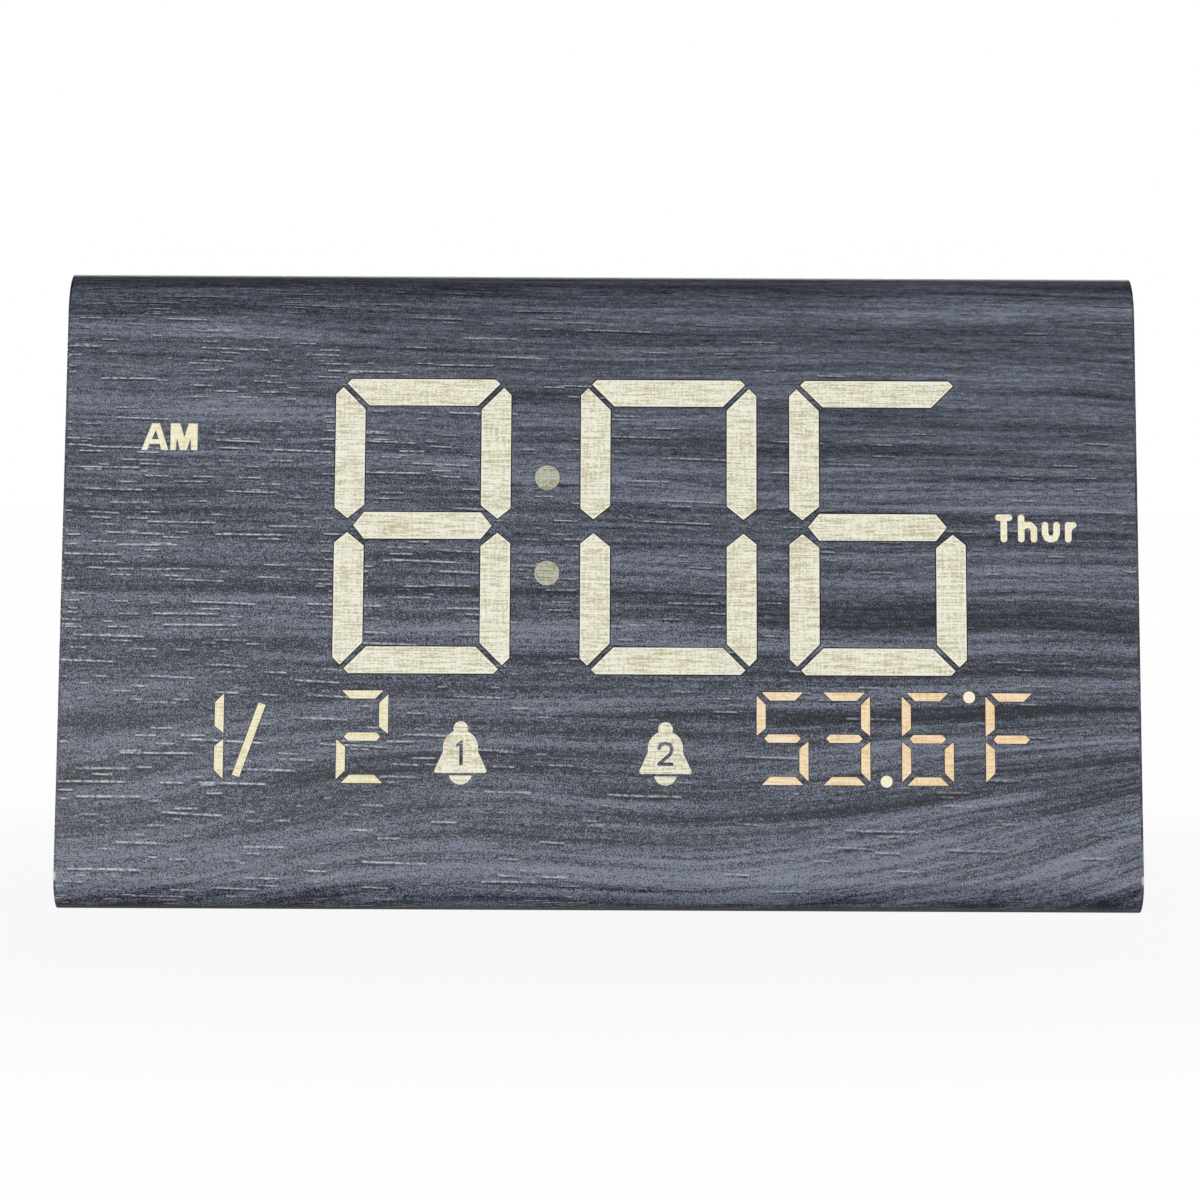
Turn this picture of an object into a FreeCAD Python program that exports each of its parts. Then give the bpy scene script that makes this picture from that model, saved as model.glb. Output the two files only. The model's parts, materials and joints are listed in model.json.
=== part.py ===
import FreeCAD, Part
import math
import os

from FreeCAD import Matrix, Placement, Vector

# Digital desk clock: a wedge of foil-wrapped wood board with a lit segment display behind its face.
# Millimetres and degrees, +Z up, the face looks to -Y, the origin is under the middle of the feet.

# Case
case_width = 196.0
case_depth = 55.3
top_depth = 27.26
case_height = 115.8
top_fall = 6.0
rear_lean = 5.0
front_bottom_radius = 5.5
front_top_radius = 9.0
rear_edge_radius = 2.5
board_thickness = 9.0
end_thickness = 6.0
foil_thickness = 0.4
overrun = 1.0

# Feet
foot_radius = 6.0
foot_recess = 0.8
foot_proud = 0.5
foot_side_inset = 16.0
foot_front_inset = 22.65
foot_rear_inset = 11.65

# Slope of the face, from the depths at the foot and at the top
face_rise = case_height - front_bottom_radius - front_top_radius
face_setback = (case_depth - top_depth - case_height * math.tan(math.radians(rear_lean))
                + front_top_radius - front_bottom_radius)
face_slope = math.hypot(face_setback, face_rise)
face_lean = math.degrees(math.asin((front_bottom_radius - front_top_radius) / face_slope)
                         + math.atan2(face_setback, face_rise))
face_length = math.sqrt(face_slope ** 2 - (front_bottom_radius - front_top_radius) ** 2)

# Display window in the front board, across and up from the datum of the face
datum_rise_share = 0.4879
window_left_margin = 11.0
window_right_margin = 9.4
window_floor_margin = 12.97
window_top_margin = 8.02
datum_rise = face_length * datum_rise_share
window_left = window_left_margin - case_width / 2
window_right = case_width / 2 - window_right_margin
window_bottom = window_floor_margin - datum_rise
window_top = face_length - window_top_margin - datum_rise
window_width = window_right - window_left
window_height = window_top - window_bottom
mask_clearance = 0.15
lens_thickness = 2.0
well_ledge = 0.3
well_end_share = 0.6
led_board_thickness = 1.6
led_board_margin = 4.0
led_board_side_margin = 2.0
led_length = 1.6
led_width = 0.8
led_height = 0.6
led_spacing = 12.0

# Large digits, placed and sized by shares of the window
large_width_share = 0.185
large_height_share = 0.6636
large_middle_share = 0.6194
hour_left_share = 0.2181
minute_tens_left_share = 0.4736
minute_units_left_share = 0.6907
leading_one_shift_share = 0.2176
colon_centre_share = 0.4401
colon_upper_share = 0.728
colon_lower_share = 0.5139
colon_radius = 2.27
large_upright = 5.8
large_level = 5.3
large_gap = 0.6
large_chamfer = 3.0
large_tip_in = 2.56
large_tip_clear = 1.03
large_bar_in = 3.35
large_bar_run = 2.15

# Small digits, by the same shares
small_width_share = 0.0546
small_height_share = 0.2071
small_middle_share = 0.1498
month_left_share = 0.0546
day_left_share = 0.2239
degree_tens_left_share = 0.6567
degree_units_left_share = 0.7203
degree_tenths_left_share = 0.8062
unit_letter_left_share = 0.8925
slash_head_across_share = 0.148
slash_head_up_share = 0.223
slash_foot_across_share = 0.1215
slash_foot_up_share = 0.0607
point_across_share = 0.7908
point_up_share = 0.0562
degree_across_share = 0.8764
degree_up_share = 0.2425
small_upright = 1.88
small_level = 1.75
small_gap = 0.85
small_tip_clear = 0.24
small_bar_in = 1.33
small_bar_run = 0.8
slash_stroke = 1.63
dot_radius = 1.22
tip_slope_share = 0.82

# Letters and the columns of spare lamps
noon_left_share = 0.0168
noon_bottom_share = 0.7858
noon_letter_width_share = 0.0285
noon_pitch_share = 0.0302
noon_height = 5.0
weekday_bottom_share = 0.5874
weekday_cap_height = 5.2
weekday_low_height = 3.85
weekday_left_shares = (0.9053, 0.9288, 0.9535, 0.9776)
weekday_width_shares = (0.018, 0.0202, 0.0191, 0.0123)
letter_stroke = 1.25
letter_plate_margin = 0.8
letter_plate_thickness = 1.6
lamp_pitch_share = 0.0988
lamp_column_height_share = 0.0679
noon_spare_steps = (-1,)
weekday_spare_steps = (3, 2, 1, -1, -2, -3)

# Bells
bell_one_share = 0.3527
bell_two_share = 0.5635
bell_rim_bottom_share = 0.0705
bell_height = 9.45
bell_rim_half = 4.75
bell_rim_thickness = 0.5
bell_rim_round = 0.45
bell_waist_half = 3.2
bell_waist_rise = 3.9
bell_dome_rise = 4.65
bell_knob_radius = 1.35
bell_neck_half = 1.3
clapper_radius = 2.15
clapper_cut = 0.45
clapper_drop = 0.4
numeral_stroke = 0.58
numeral_height = 4.35
numeral_width = 2.9
numeral_rise = 1.5

# Rear cover
cover_recess = 2.2
cover_thickness = 2.5
cover_lip = 4.5
side_lip = 3.4
cover_clearance = 0.25
cover_screw_radius = 1.0
cover_screw_head_radius = 2.0
cover_screw_head_height = 1.4
cover_screw_length = 8.0
cover_screw_inset = 2.2
cover_screw_side_inset = 16.0
screw_slot_depth = 0.6
screw_slot_width = 0.6
screw_slot_share = 1.2

# Set buttons on the rear
button_count = 6
button_first_share = -0.612
button_pitch_share = 0.194
button_row_share = 0.7426
button_radius = 3.5
button_proud = 1.3
button_gap = 0.3
button_flange_radius = 4.6
button_flange_thickness = 0.8
button_stem_radius = 1.4
button_travel = 0.6
button_rest_gap = 0.2
button_edge_radius = 0.5
switch_size = 6.0
switch_body_height = 3.2
plunger_radius = 1.1
plunger_proud = 0.9
plunger_bore_gap = 0.15

# Control board
control_standoff = 6.8
control_thickness = 1.6
control_left_margin = 14.0
control_right_margin = 9.0
control_below = 13.0
control_above = 7.0
boss_radius = 3.0
boss_inset = 4.0
boss_from_dimmer = 13.0
board_screw_radius = 0.9
board_screw_length = 4.0
board_screw_head_radius = 1.7
board_screw_head_height = 0.9

# Dimmer wheel
dimmer_across_share = 0.633
dimmer_drop = 2.0
dimmer_radius = 7.0
dimmer_thickness = 2.6
dimmer_proud = 1.5
dimmer_slot_gap = 0.4
dimmer_shaft_radius = 1.5
dimmer_shaft_fit = 0.05
dimmer_groove_count = 30
dimmer_groove_radius = 0.3
pot_thickness = 4.0
pot_height = 9.0
pot_front_gap = 0.6

# Volume switch
volume_across_share = 0.786
volume_travel = 3.0
volume_knob_width = 3.2
volume_knob_height = 4.0
volume_knob_proud = 1.4
volume_slot_gap = 0.35
volume_body_width = 12.0
volume_body_height = 6.0
volume_body_depth = 4.0
volume_shoe_height = 2.4
volume_shoe_depth = 1.2

# Speaker
speaker_across_share = 0.592
speaker_up_share = 0.3629
speaker_radius = 14.0
speaker_rim_depth = 1.6
speaker_basket_radius = 12.0
speaker_basket_depth = 3.2
speaker_magnet_radius = 7.0
speaker_magnet_depth = 2.6
speaker_ring_wall = 1.4
speaker_ring_gap = 0.3
grille_hole_radius = 0.9
grille_pitch = 3.2
grille_rings = 3
grille_first_ring = 6

# Battery bay and door
door_width = 54.0
door_height = 27.0
door_up = 30.0
door_gap = 0.3
door_pin_radius = 0.6
door_pin_reach = 1.6
door_pin_fit = 0.08
finger_notch_radius = 5.0
finger_notch_depth = 1.2
tray_wall = 1.5
tray_depth = 11.2
tray_rim = 2.0
bay_side_gap = 0.6
cell_radius = 5.25
cell_length = 43.3
cell_nub_radius = 1.9
cell_nub_length = 1.2
cell_pitch = 11.4
contact_thickness = 0.4
contact_size = 8.0
leaf_depth = 3.1

# Sockets on the power board
power_board_side_gap = 8.0
power_board_end_share = -0.449
power_board_depth = 20.0
power_board_up = 19.5
power_board_thickness = 1.6
jack_across_share = -0.806
jack_size = 9.0
jack_depth = 13.0
jack_bore_radius = 3.1
jack_bore_depth = 9.5
jack_pin_radius = 1.0
jack_pin_length = 8.5
jack_hole_radius = 3.6
port_across_share = -0.592
port_width = 14.3
port_height = 6.6
port_depth = 13.6
port_wall = 0.5
port_tongue_width = 11.0
port_tongue_thickness = 1.8
port_tongue_drop = 0.9
port_tongue_length = 8.8
port_base_depth = 3.4
socket_gap = 0.2
rib_inset = 2.0
rib_thickness = 1.6
rib_height = 5.0
rib_depth = 12.0

# Temperature sensor
sensor_across_share = -0.633
sensor_up_share = 0.5181
sensor_radius = 1.2
sensor_length = 3.0
vent_count = 4
vent_pitch = 3.2
vent_width = 1.2
vent_height = 9.0
sensor_standoff = 1.8
clip_gap = 0.2
clip_thickness = 1.0
clip_height = 2.0
leg_radius = 0.3

# Snooze bar
snooze_width = 64.0
snooze_depth = 7.5
snooze_back = 7.0
snooze_gap = 0.35
snooze_proud = 0.3
snooze_corner = 2.5
snooze_flange = 1.6
snooze_flange_thickness = 1.2
snooze_stem_radius = 2.0
snooze_rest_gap = 0.2
post_radius = 2.4
post_thread_radius = 1.2
post_thread_length = 4.0
snooze_board_height = 8.0
snooze_strip_margin = 1.6

# Ribbon cable
ribbon_width = 14.0
ribbon_thickness = 0.9
ribbon_across = 6.0
ribbon_up_share = 0.38
ribbon_above_edge = 5.0
ribbon_bend_radius = 3.0
plug_depth = 3.0
plug_height = 4.0
plug_margin = 1.0
ribbon_run = 5.0

# Round leads
lead_radius = 0.9
lead_bend = 2.0
speaker_lead_offset = 6.0
speaker_lead_depth = 17.0
battery_lead_across = -20.0
battery_lead_depth = 15.6
power_lead_offset = 8.0
power_lead_depth = 18.0

# Chips on the control board
clock_chip_share = -0.408
clock_chip_width = 10.0
clock_chip_height = 7.0
clock_chip_rise = 1.8
crystal_share = -0.265
crystal_width = 8.0
crystal_height = 3.0
crystal_rise = 2.6
sound_chip_share = 0.204
sound_chip_width = 12.0
sound_chip_height = 6.0
sound_chip_rise = 2.0
chip_row_rise = 10.0


def vector_yz(angle):
    """Unit vector in the side view, turned by angle from straight up towards the rear."""
    return Vector(0, math.sin(math.radians(angle)), math.cos(math.radians(angle)))


def meet(normal_a, reach_a, normal_b, reach_b):
    """Point of the side view that lies at the given reach along two normals."""
    spread = normal_a.y * normal_b.z - normal_a.z * normal_b.y
    across = (reach_a * normal_b.z - reach_b * normal_a.z) / spread
    up = (normal_a.y * reach_b - normal_b.y * reach_a) / spread
    return Vector(0, across, up)


# Outline of the case from the side: four outward normals and the four round corners between them
across_axis = Vector(1, 0, 0)
floor_normal = Vector(0, 0, -1)
face_up = vector_yz(face_lean)
face_normal = across_axis.cross(face_up)
top_normal = vector_yz(top_fall)
top_back = top_normal.cross(across_axis)
rear_up = vector_yz(-rear_lean)
rear_normal = rear_up.cross(across_axis)

front_bottom_centre = Vector(0, front_bottom_radius - case_depth / 2, foot_proud + front_bottom_radius)
rear_bottom_centre = Vector(0, case_depth / 2 - rear_edge_radius, foot_proud + rear_edge_radius)
floor_reach = -foot_proud
face_reach = front_bottom_centre.dot(face_normal) + front_bottom_radius
rear_reach = rear_bottom_centre.dot(rear_normal) + rear_edge_radius
front_top_centre = meet(face_normal, face_reach - front_top_radius,
                        -floor_normal, foot_proud + case_height - front_top_radius)
top_reach = front_top_centre.dot(top_normal) + front_top_radius
rear_top_centre = meet(top_normal, top_reach - rear_edge_radius, rear_normal, rear_reach - rear_edge_radius)

wall = foil_thickness + board_thickness
half_width = case_width / 2
half_core = half_width - foil_thickness
half_inner = half_core - end_thickness


def frame(x_axis, y_axis, z_axis, origin):
    """Placement whose local axes are the three given directions."""
    return Placement(Matrix(x_axis.x, y_axis.x, z_axis.x, origin.x,
                            x_axis.y, y_axis.y, z_axis.y, origin.y,
                            x_axis.z, y_axis.z, z_axis.z, origin.z,
                            0, 0, 0, 1))


# Local frames: x across, y up along the surface, z out of it
face_origin = front_bottom_centre + face_normal * front_bottom_radius + face_up * datum_rise
face_frame = frame(across_axis, face_up, face_normal, face_origin)

rear_origin = meet(floor_normal, floor_reach, rear_normal, rear_reach)
rear_frame = frame(-across_axis, rear_up, rear_normal, rear_origin)

top_origin = front_top_centre + top_normal * front_top_radius
top_frame = frame(across_axis, top_back, top_normal, top_origin)

# Places on the rear, across and up
cover_screw_spread = half_width - cover_screw_side_inset
button_row = case_height * button_row_share
button_pitch = half_width * button_pitch_share
button_first = half_width * button_first_share
dimmer_across = half_width * dimmer_across_share
dimmer_row = button_row - dimmer_drop
volume_across = half_width * volume_across_share
control_left = button_first - control_left_margin
control_right = volume_across + control_right_margin
control_bottom = button_row - control_below
control_top = button_row + control_above
speaker_across = half_width * speaker_across_share
speaker_up = case_height * speaker_up_share
sensor_across = half_width * sensor_across_share
sensor_up = case_height * sensor_up_share
power_board_left = power_board_side_gap - half_width
power_board_right = half_width * power_board_end_share
jack_across = half_width * jack_across_share
port_across = half_width * port_across_share


def prism_yz(points, half):
    """Solid with a polygon of the side view as its section, centred on the width."""
    wire = Part.makePolygon([Vector(-half, p.y, p.z) for p in points + points[:1]])
    return Part.Face(wire).extrude(Vector(2 * half, 0, 0))


def case_section(inset, start, end):
    """Solid with the outline of the case, drawn in by inset, between two places across."""
    corners = [(front_bottom_centre, front_bottom_radius, floor_normal, face_normal),
               (front_top_centre, front_top_radius, face_normal, top_normal),
               (rear_top_centre, rear_edge_radius, top_normal, rear_normal),
               (rear_bottom_centre, rear_edge_radius, rear_normal, floor_normal)]
    arcs = []
    for centre, radius, before, after in corners:
        middle = (before + after).normalize()
        arcs.append([centre + normal * (radius - inset) for normal in (before, middle, after)])
    edges = []
    for number, (first, middle, last) in enumerate(arcs):
        following = arcs[(number + 1) % len(arcs)][0]
        edges.append(Part.Arc(first, middle, last).toShape())
        edges.append(Part.makeLine(last, following))
    section = Part.Face(Part.Wire(edges))
    section.translate(Vector(start, 0, 0))
    return section.extrude(Vector(end - start, 0, 0))


def rear_slab(lip, shallow, deep, half):
    """Block along the rear, lip away from floor and top, between two depths in from the rear plane."""
    low_out = meet(floor_normal, floor_reach - lip, rear_normal, rear_reach - shallow)
    high_out = meet(top_normal, top_reach - lip, rear_normal, rear_reach - shallow)
    high_in = meet(top_normal, top_reach - lip, rear_normal, rear_reach - deep)
    low_in = meet(floor_normal, floor_reach - lip, rear_normal, rear_reach - deep)
    return prism_yz([low_out, high_out, high_in, low_in], half)


def outline(points):
    """Flat face with straight sides in a local frame."""
    corners = [Vector(across, up, 0) for across, up in points]
    return Part.Face(Part.makePolygon(corners + corners[:1]))


def plate(face, near, far):
    """Solid from a flat face, between two depths behind the surface of its frame."""
    solid = face.extrude(Vector(0, 0, far - near))
    solid.translate(Vector(0, 0, -far))
    return solid


def block(left, right, bottom, top, near, far):
    """Rectangular plate in a local frame."""
    return plate(outline([(left, bottom), (right, bottom), (right, top), (left, top)]), near, far)


def disc(across, up, radius, near, far):
    """Round plate in a local frame."""
    return Part.makeCylinder(radius, far - near, Vector(across, up, -far), Vector(0, 0, 1))


def placed(shape, place):
    """Copy of a shape moved from a local frame into the frame of the part."""
    copy = shape.copy()
    copy.Placement = place.multiply(copy.Placement)
    return copy


def fused(shapes):
    """Single shape from several that meet."""
    first, rest = shapes[0], shapes[1:]
    return first.multiFuse(rest).removeSplitter() if rest else first


def gathered(shapes):
    """Group of separate solids."""
    return Part.makeCompound([solid for shape in shapes for solid in shape.Solids])


def inner_corners():
    """Corners of the space inside the boards, seen from the side and open past the rear."""
    behind = rear_reach + overrun
    return [meet(floor_normal, floor_reach - wall, face_normal, face_reach - wall),
            meet(face_normal, face_reach - wall, top_normal, top_reach - wall),
            meet(top_normal, top_reach - wall, rear_normal, behind),
            meet(floor_normal, floor_reach - wall, rear_normal, behind)]


def mitre_sector(inner, before, after, along, rear_corner):
    """Wedge that splits a corner of the case along its mitre."""
    outer = inner + (before + after).normalize() * (2 * wall)
    return prism_yz([inner, outer, outer + along * (2 * case_depth), rear_corner], half_width)


def cover_rebate():
    """Space at the rear that the cover drops into, up to the ledge that it rests on."""
    return rear_slab(cover_lip, -overrun, cover_recess + cover_thickness, half_width - side_lip)


def foot_places():
    """Centres of the four feet under the case."""
    across = half_width - foot_side_inset
    front = foot_front_inset - case_depth / 2
    rear = case_depth / 2 - foot_rear_inset
    return [Vector(x, y, 0) for x in (-across, across) for y in (front, rear)]


def foot_discs(radius, top):
    """Round pads standing on the floor."""
    return [Part.makeCylinder(radius, top, place) for place in foot_places()]


def snooze_opening(gap, near, far):
    """Round-cornered bar through the top of the case."""
    half, deep = snooze_width / 2 + gap, snooze_depth / 2 + gap
    bar = block(-half, half, snooze_back - deep, snooze_back + deep, near, far)
    upright = [edge for edge in bar.Edges
               if abs(edge.Vertexes[0].Z - edge.Vertexes[1].Z) > foil_thickness / 2]
    return bar.makeFillet(snooze_corner + gap, upright)


def cover_screw_places():
    """Screw centres near the corners of the cover, in the frame of the rear."""
    inset = cover_lip + cover_screw_inset
    low = meet(floor_normal, floor_reach - inset, rear_normal, rear_reach)
    high = meet(top_normal, top_reach - inset, rear_normal, rear_reach)
    rises = [(point - rear_origin).dot(rear_up) for point in (low, high)]
    return [(across, rise) for rise in rises for across in (-cover_screw_spread, cover_screw_spread)]


def cover_screw_shanks():
    """Round shanks from the cover's outer face into the boards."""
    seat = cover_recess
    return [disc(across, up, cover_screw_radius, seat, seat + cover_screw_length)
            for across, up in cover_screw_places()]


def led_board_screw_places():
    """Screws near the corners of the lamp board, above and below the window."""
    edge = led_board_margin / 2
    return [(across, up) for across in (window_left + edge, window_right - edge)
            for up in (window_bottom - edge, window_top + edge)]


def snooze_post_places():
    """Two posts beside the snooze bar, in the frame of the top."""
    across = snooze_width / 2 + snooze_flange + 2 * snooze_stem_radius
    return [(-across, snooze_back), (across, snooze_back)]


def snooze_board_depth():
    """Depth of the strip under the snooze bar, below the top surface."""
    return wall + snooze_flange_thickness + snooze_rest_gap + plunger_proud + switch_body_height


def case_nodes():
    """Boards of the case, their foil and the feet."""
    low_front, high_front, high_rear, low_rear = inner_corners()
    core = case_section(foil_thickness, -half_inner, half_inner)
    core = core.cut(prism_yz([low_front, high_front, high_rear, low_rear], half_width))
    top_part = mitre_sector(high_front, face_normal, top_normal, top_back, high_rear)
    bottom_part = mitre_sector(low_front, face_normal, floor_normal, Vector(0, 1, 0), low_rear)
    rebate = cover_rebate()
    window = placed(block(window_left, window_right, window_bottom, window_top, -overrun, wall + overrun),
                    face_frame)
    screw_near = wall + led_board_thickness - board_screw_length
    board_screws = [placed(disc(across, up, board_screw_radius, screw_near, wall), face_frame)
                    for across, up in led_board_screw_places()]
    posts = [placed(disc(across, back, post_thread_radius, wall - post_thread_length, wall), top_frame)
             for across, back in snooze_post_places()]
    shanks = [placed(shank, rear_frame) for shank in cover_screw_shanks()]
    snooze_slot = placed(snooze_opening(snooze_gap, -overrun, wall + overrun), top_frame)
    pads = foot_discs(foot_radius, foot_proud + foot_recess)

    nodes = {}
    nodes["front_board"] = core.cut([top_part, bottom_part, window] + board_screws)
    nodes["top_board"] = core.common(top_part).cut([rebate, snooze_slot] + shanks + posts)
    nodes["bottom_board"] = core.common(bottom_part).cut([rebate] + shanks + pads)
    nodes["left_end_panel"] = case_section(foil_thickness, -half_core, -half_inner).cut([rebate] + pads)
    nodes["right_end_panel"] = case_section(foil_thickness, half_inner, half_core).cut([rebate] + pads)
    nodes["end_foils"] = gathered([case_section(0, -half_width, -half_core),
                                   case_section(0, half_core, half_width)])
    sleeve = case_section(0, -half_core, half_core)
    sleeve = sleeve.cut(case_section(foil_thickness, -half_width, half_width))
    windows = [placed(solid, face_frame) for solid in foil_windows()]
    nodes["veneer_wrap"] = sleeve.cut([rebate, snooze_slot] + pads + windows)
    nodes["rubber_feet"] = gathered(pads)
    return nodes


def across_at(share):
    """Place across the window, in the frame of the face."""
    return window_left + window_width * share


def up_at(share):
    """Place up the window, in the frame of the face."""
    return window_bottom + window_height * share


def digit_faces(left, middle, width, height, style, letters):
    """Flat segments of one digit: a to f run clockwise from the top, g is the bar in the middle."""
    half_across, half_up = width / 2, height / 2
    inner_across = half_across - style["upright"]
    inner_up = half_up - style["level"]
    shift = style["gap"] / math.sqrt(2)
    chamfer = style["chamfer"]
    level_end = [(inner_across - shift, inner_up)]
    upright_end = [(inner_across, inner_up - shift)]
    if chamfer:
        total = half_across + half_up - chamfer
        difference = inner_across - inner_up
        level_end.append(((total + difference - shift) / 2, (total - difference + shift) / 2))
        level_end.append((half_across - chamfer, half_up))
        upright_end.append(((total + difference + shift) / 2, (total - difference - shift) / 2))
        upright_end.append((half_across, half_up - chamfer))
    else:
        level_end.append((inner_across - shift + style["level"], half_up))
        upright_end.append((half_across, inner_up - shift + style["upright"]))
    clear, tip_in = style["tip_clear"], style["tip_in"]
    tip = [(half_across, clear + tip_in * tip_slope_share)] if tip_in else []
    tip.append((half_across - tip_in, clear))
    tip.append((inner_across, clear + (style["upright"] - tip_in) * tip_slope_share))
    bar_end, bar_flat = half_across - style["bar_in"], half_across - style["bar_in"] - style["bar_run"]
    thick = style["level"] / 2

    level = level_end + [(-across, up) for across, up in reversed(level_end)]
    upright = upright_end + tip
    bar = [(bar_end, 0), (bar_flat, thick), (-bar_flat, thick),
           (-bar_end, 0), (-bar_flat, -thick), (bar_flat, -thick)]
    shapes = {"a": (level, 1, 1), "b": (upright, 1, 1), "c": (upright, 1, -1), "d": (level, 1, -1),
              "e": (upright, -1, -1), "f": (upright, -1, 1), "g": (bar, 1, 1)}
    faces = []
    for letter in letters:
        points, flip_across, flip_up = shapes[letter]
        faces.append(outline([(left + half_across + flip_across * across, middle + flip_up * up)
                              for across, up in points]))
    return faces


large_style = {"upright": large_upright, "level": large_level, "gap": large_gap, "chamfer": large_chamfer,
               "tip_in": large_tip_in, "tip_clear": large_tip_clear, "bar_in": large_bar_in,
               "bar_run": large_bar_run}
small_style = {"upright": small_upright, "level": small_level, "gap": small_gap, "chamfer": 0, "tip_in": 0,
               "tip_clear": small_tip_clear, "bar_in": small_bar_in, "bar_run": small_bar_run}


def large_digit(left_share, letters):
    """Segments of a digit of the time."""
    return digit_faces(across_at(left_share), up_at(large_middle_share), window_width * large_width_share,
                       window_height * large_height_share, large_style, letters)


def small_digit(left_share, letters):
    """Segments of a digit of the date or the temperature."""
    return digit_faces(across_at(left_share), up_at(small_middle_share), window_width * small_width_share,
                       window_height * small_height_share, small_style, letters)


def dot_face(across_share, up_share, radius):
    """Round lamp."""
    circle = Part.makeCircle(radius, Vector(across_at(across_share), up_at(up_share), 0))
    return Part.Face(Part.Wire(circle))


def slash_face():
    """Leaning bar with square ends between month and day."""
    head = Vector(across_at(slash_head_across_share), up_at(slash_head_up_share), 0)
    foot = Vector(across_at(slash_foot_across_share), up_at(slash_foot_up_share), 0)
    side = (head - foot).normalize().cross(Vector(0, 0, 1)) * (slash_stroke / 2)
    return outline([(point.x, point.y) for point in (head - side, head + side, foot + side, foot - side)])


lit_faces = {
    "hour_digit": large_digit(hour_left_share, "abcdefg"),
    "minute_tens_digit": large_digit(minute_tens_left_share, "abcdef"),
    "minute_units_digit": large_digit(minute_units_left_share, "acdefg"),
    "colon_dots": [dot_face(colon_centre_share, share, colon_radius)
                   for share in (colon_upper_share, colon_lower_share)],
    "month_digit": small_digit(month_left_share, "bc"),
    "date_slash": [slash_face()],
    "day_digit": small_digit(day_left_share, "abged"),
    "temperature_tens": small_digit(degree_tens_left_share, "afgcd"),
    "temperature_units": small_digit(degree_units_left_share, "abgcd"),
    "temperature_tenths": small_digit(degree_tenths_left_share, "afgecd"),
    "temperature_dots": [dot_face(point_across_share, point_up_share, dot_radius),
                         dot_face(degree_across_share, degree_up_share, dot_radius)],
    "temperature_letter": small_digit(unit_letter_left_share, "afge"),
}
small_pitch_share = degree_units_left_share - degree_tens_left_share
unlit_faces = (large_digit(hour_left_share - leading_one_shift_share, "bc")
               + large_digit(minute_tens_left_share, "g") + large_digit(minute_units_left_share, "b")
               + small_digit(month_left_share, "adefg")
               + small_digit(day_left_share - small_pitch_share, "abcdefg")
               + small_digit(day_left_share, "cf")
               + small_digit(degree_tens_left_share, "be") + small_digit(degree_units_left_share, "ef")
               + small_digit(degree_tenths_left_share, "b")
               + small_digit(unit_letter_left_share, "d"))


def stroke_path(points, width, near, far):
    """Line of even width with round ends and joints."""
    pieces = [disc(across, up, width / 2, near, far) for across, up in points]
    for (across_a, up_a), (across_b, up_b) in zip(points, points[1:]):
        length = math.hypot(across_b - across_a, up_b - up_a)
        bar = block(0, length, -width / 2, width / 2, near, far)
        turn = math.degrees(math.atan2(up_b - up_a, across_b - across_a))
        bar.rotate(Vector(0, 0, 0), Vector(0, 0, 1), turn)
        bar.translate(Vector(across_a, up_a, 0))
        pieces.append(bar)
    return pieces


letter_a_shares = [(0, 0), (0.24, 0), (0.3, 0.22), (0.67, 0.22), (0.74, 0), (1, 0), (0.675, 1), (0.38, 1)]
letter_a_hole_shares = [(0.39, 0.41), (0.625, 0.41), (0.525, 0.73)]
letter_m_shares = [(0, 0), (0.21, 0), (0.24, 0.42), (0.36, 0), (0.61, 0), (0.74, 0.42), (0.76, 0), (1, 0),
                   (1, 1), (0.66, 1), (0.51, 0.5), (0.36, 1), (0, 1)]
letter_t_shares = [[(0, 1), (1, 1)], [(0.5, 0), (0.5, 1)]]
letter_h_shares = [[(0, 0), (0, 1)], [(0, 0.52), (0.3, 0.66), (0.72, 0.66), (1, 0.48), (1, 0)]]
letter_u_shares = [[(0, 1), (0, 0.4), (0.15, 0.1), (0.5, 0), (0.85, 0.1), (1, 0.4), (1, 1)]]
letter_r_shares = [[(0, 0), (0, 1)], [(0, 0.55), (0.45, 0.95), (1, 1)]]
numeral_one_shares = [(0.43, 0), (0.64, 0), (0.64, 1), (0.5, 1), (0.24, 0.86), (0.24, 0.74), (0.43, 0.83)]
numeral_two_shares = [[(0, 0.76), (0.12, 0.93), (0.5, 1), (0.88, 0.93), (1, 0.72), (0.9, 0.5),
                       (0, 0), (1, 0)]]


def share_points(shares, left, bottom, width, height):
    """Points of an outline from shares of its box."""
    return [(left + across * width, bottom + up * height) for across, up in shares]


def drawn(paths, left, bottom, width, height, stroke, near, far):
    """Letter or numeral made of even strokes inside its box."""
    pieces = []
    for path in paths:
        points = share_points(path, left + stroke / 2, bottom + stroke / 2, width - stroke, height - stroke)
        pieces += stroke_path(points, stroke, near, far)
    return fused(pieces)


def noon_letters(near, far):
    """The two capitals of the morning lamp."""
    width, pitch = window_width * noon_letter_width_share, window_width * noon_pitch_share
    left, bottom = across_at(noon_left_share), up_at(noon_bottom_share)
    box = (left, bottom, width, noon_height)
    first = plate(outline(share_points(letter_a_shares, *box)), near, far)
    hole = outline(share_points(letter_a_hole_shares, *box))
    first = first.cut(plate(hole, near - overrun, far + overrun))
    second_box = (left + pitch, bottom, width, noon_height)
    return [first, plate(outline(share_points(letter_m_shares, *second_box)), near, far)]


def weekday_letters(near, far):
    """The short name of the day."""
    shapes = (letter_t_shares, letter_h_shares, letter_u_shares, letter_r_shares)
    heights = (weekday_cap_height, weekday_cap_height, weekday_low_height, weekday_low_height)
    bottom = up_at(weekday_bottom_share)
    letters = zip(shapes, weekday_left_shares, weekday_width_shares, heights)
    return [drawn(paths, across_at(left), bottom, window_width * width, height, letter_stroke, near, far)
            for paths, left, width, height in letters]


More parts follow.
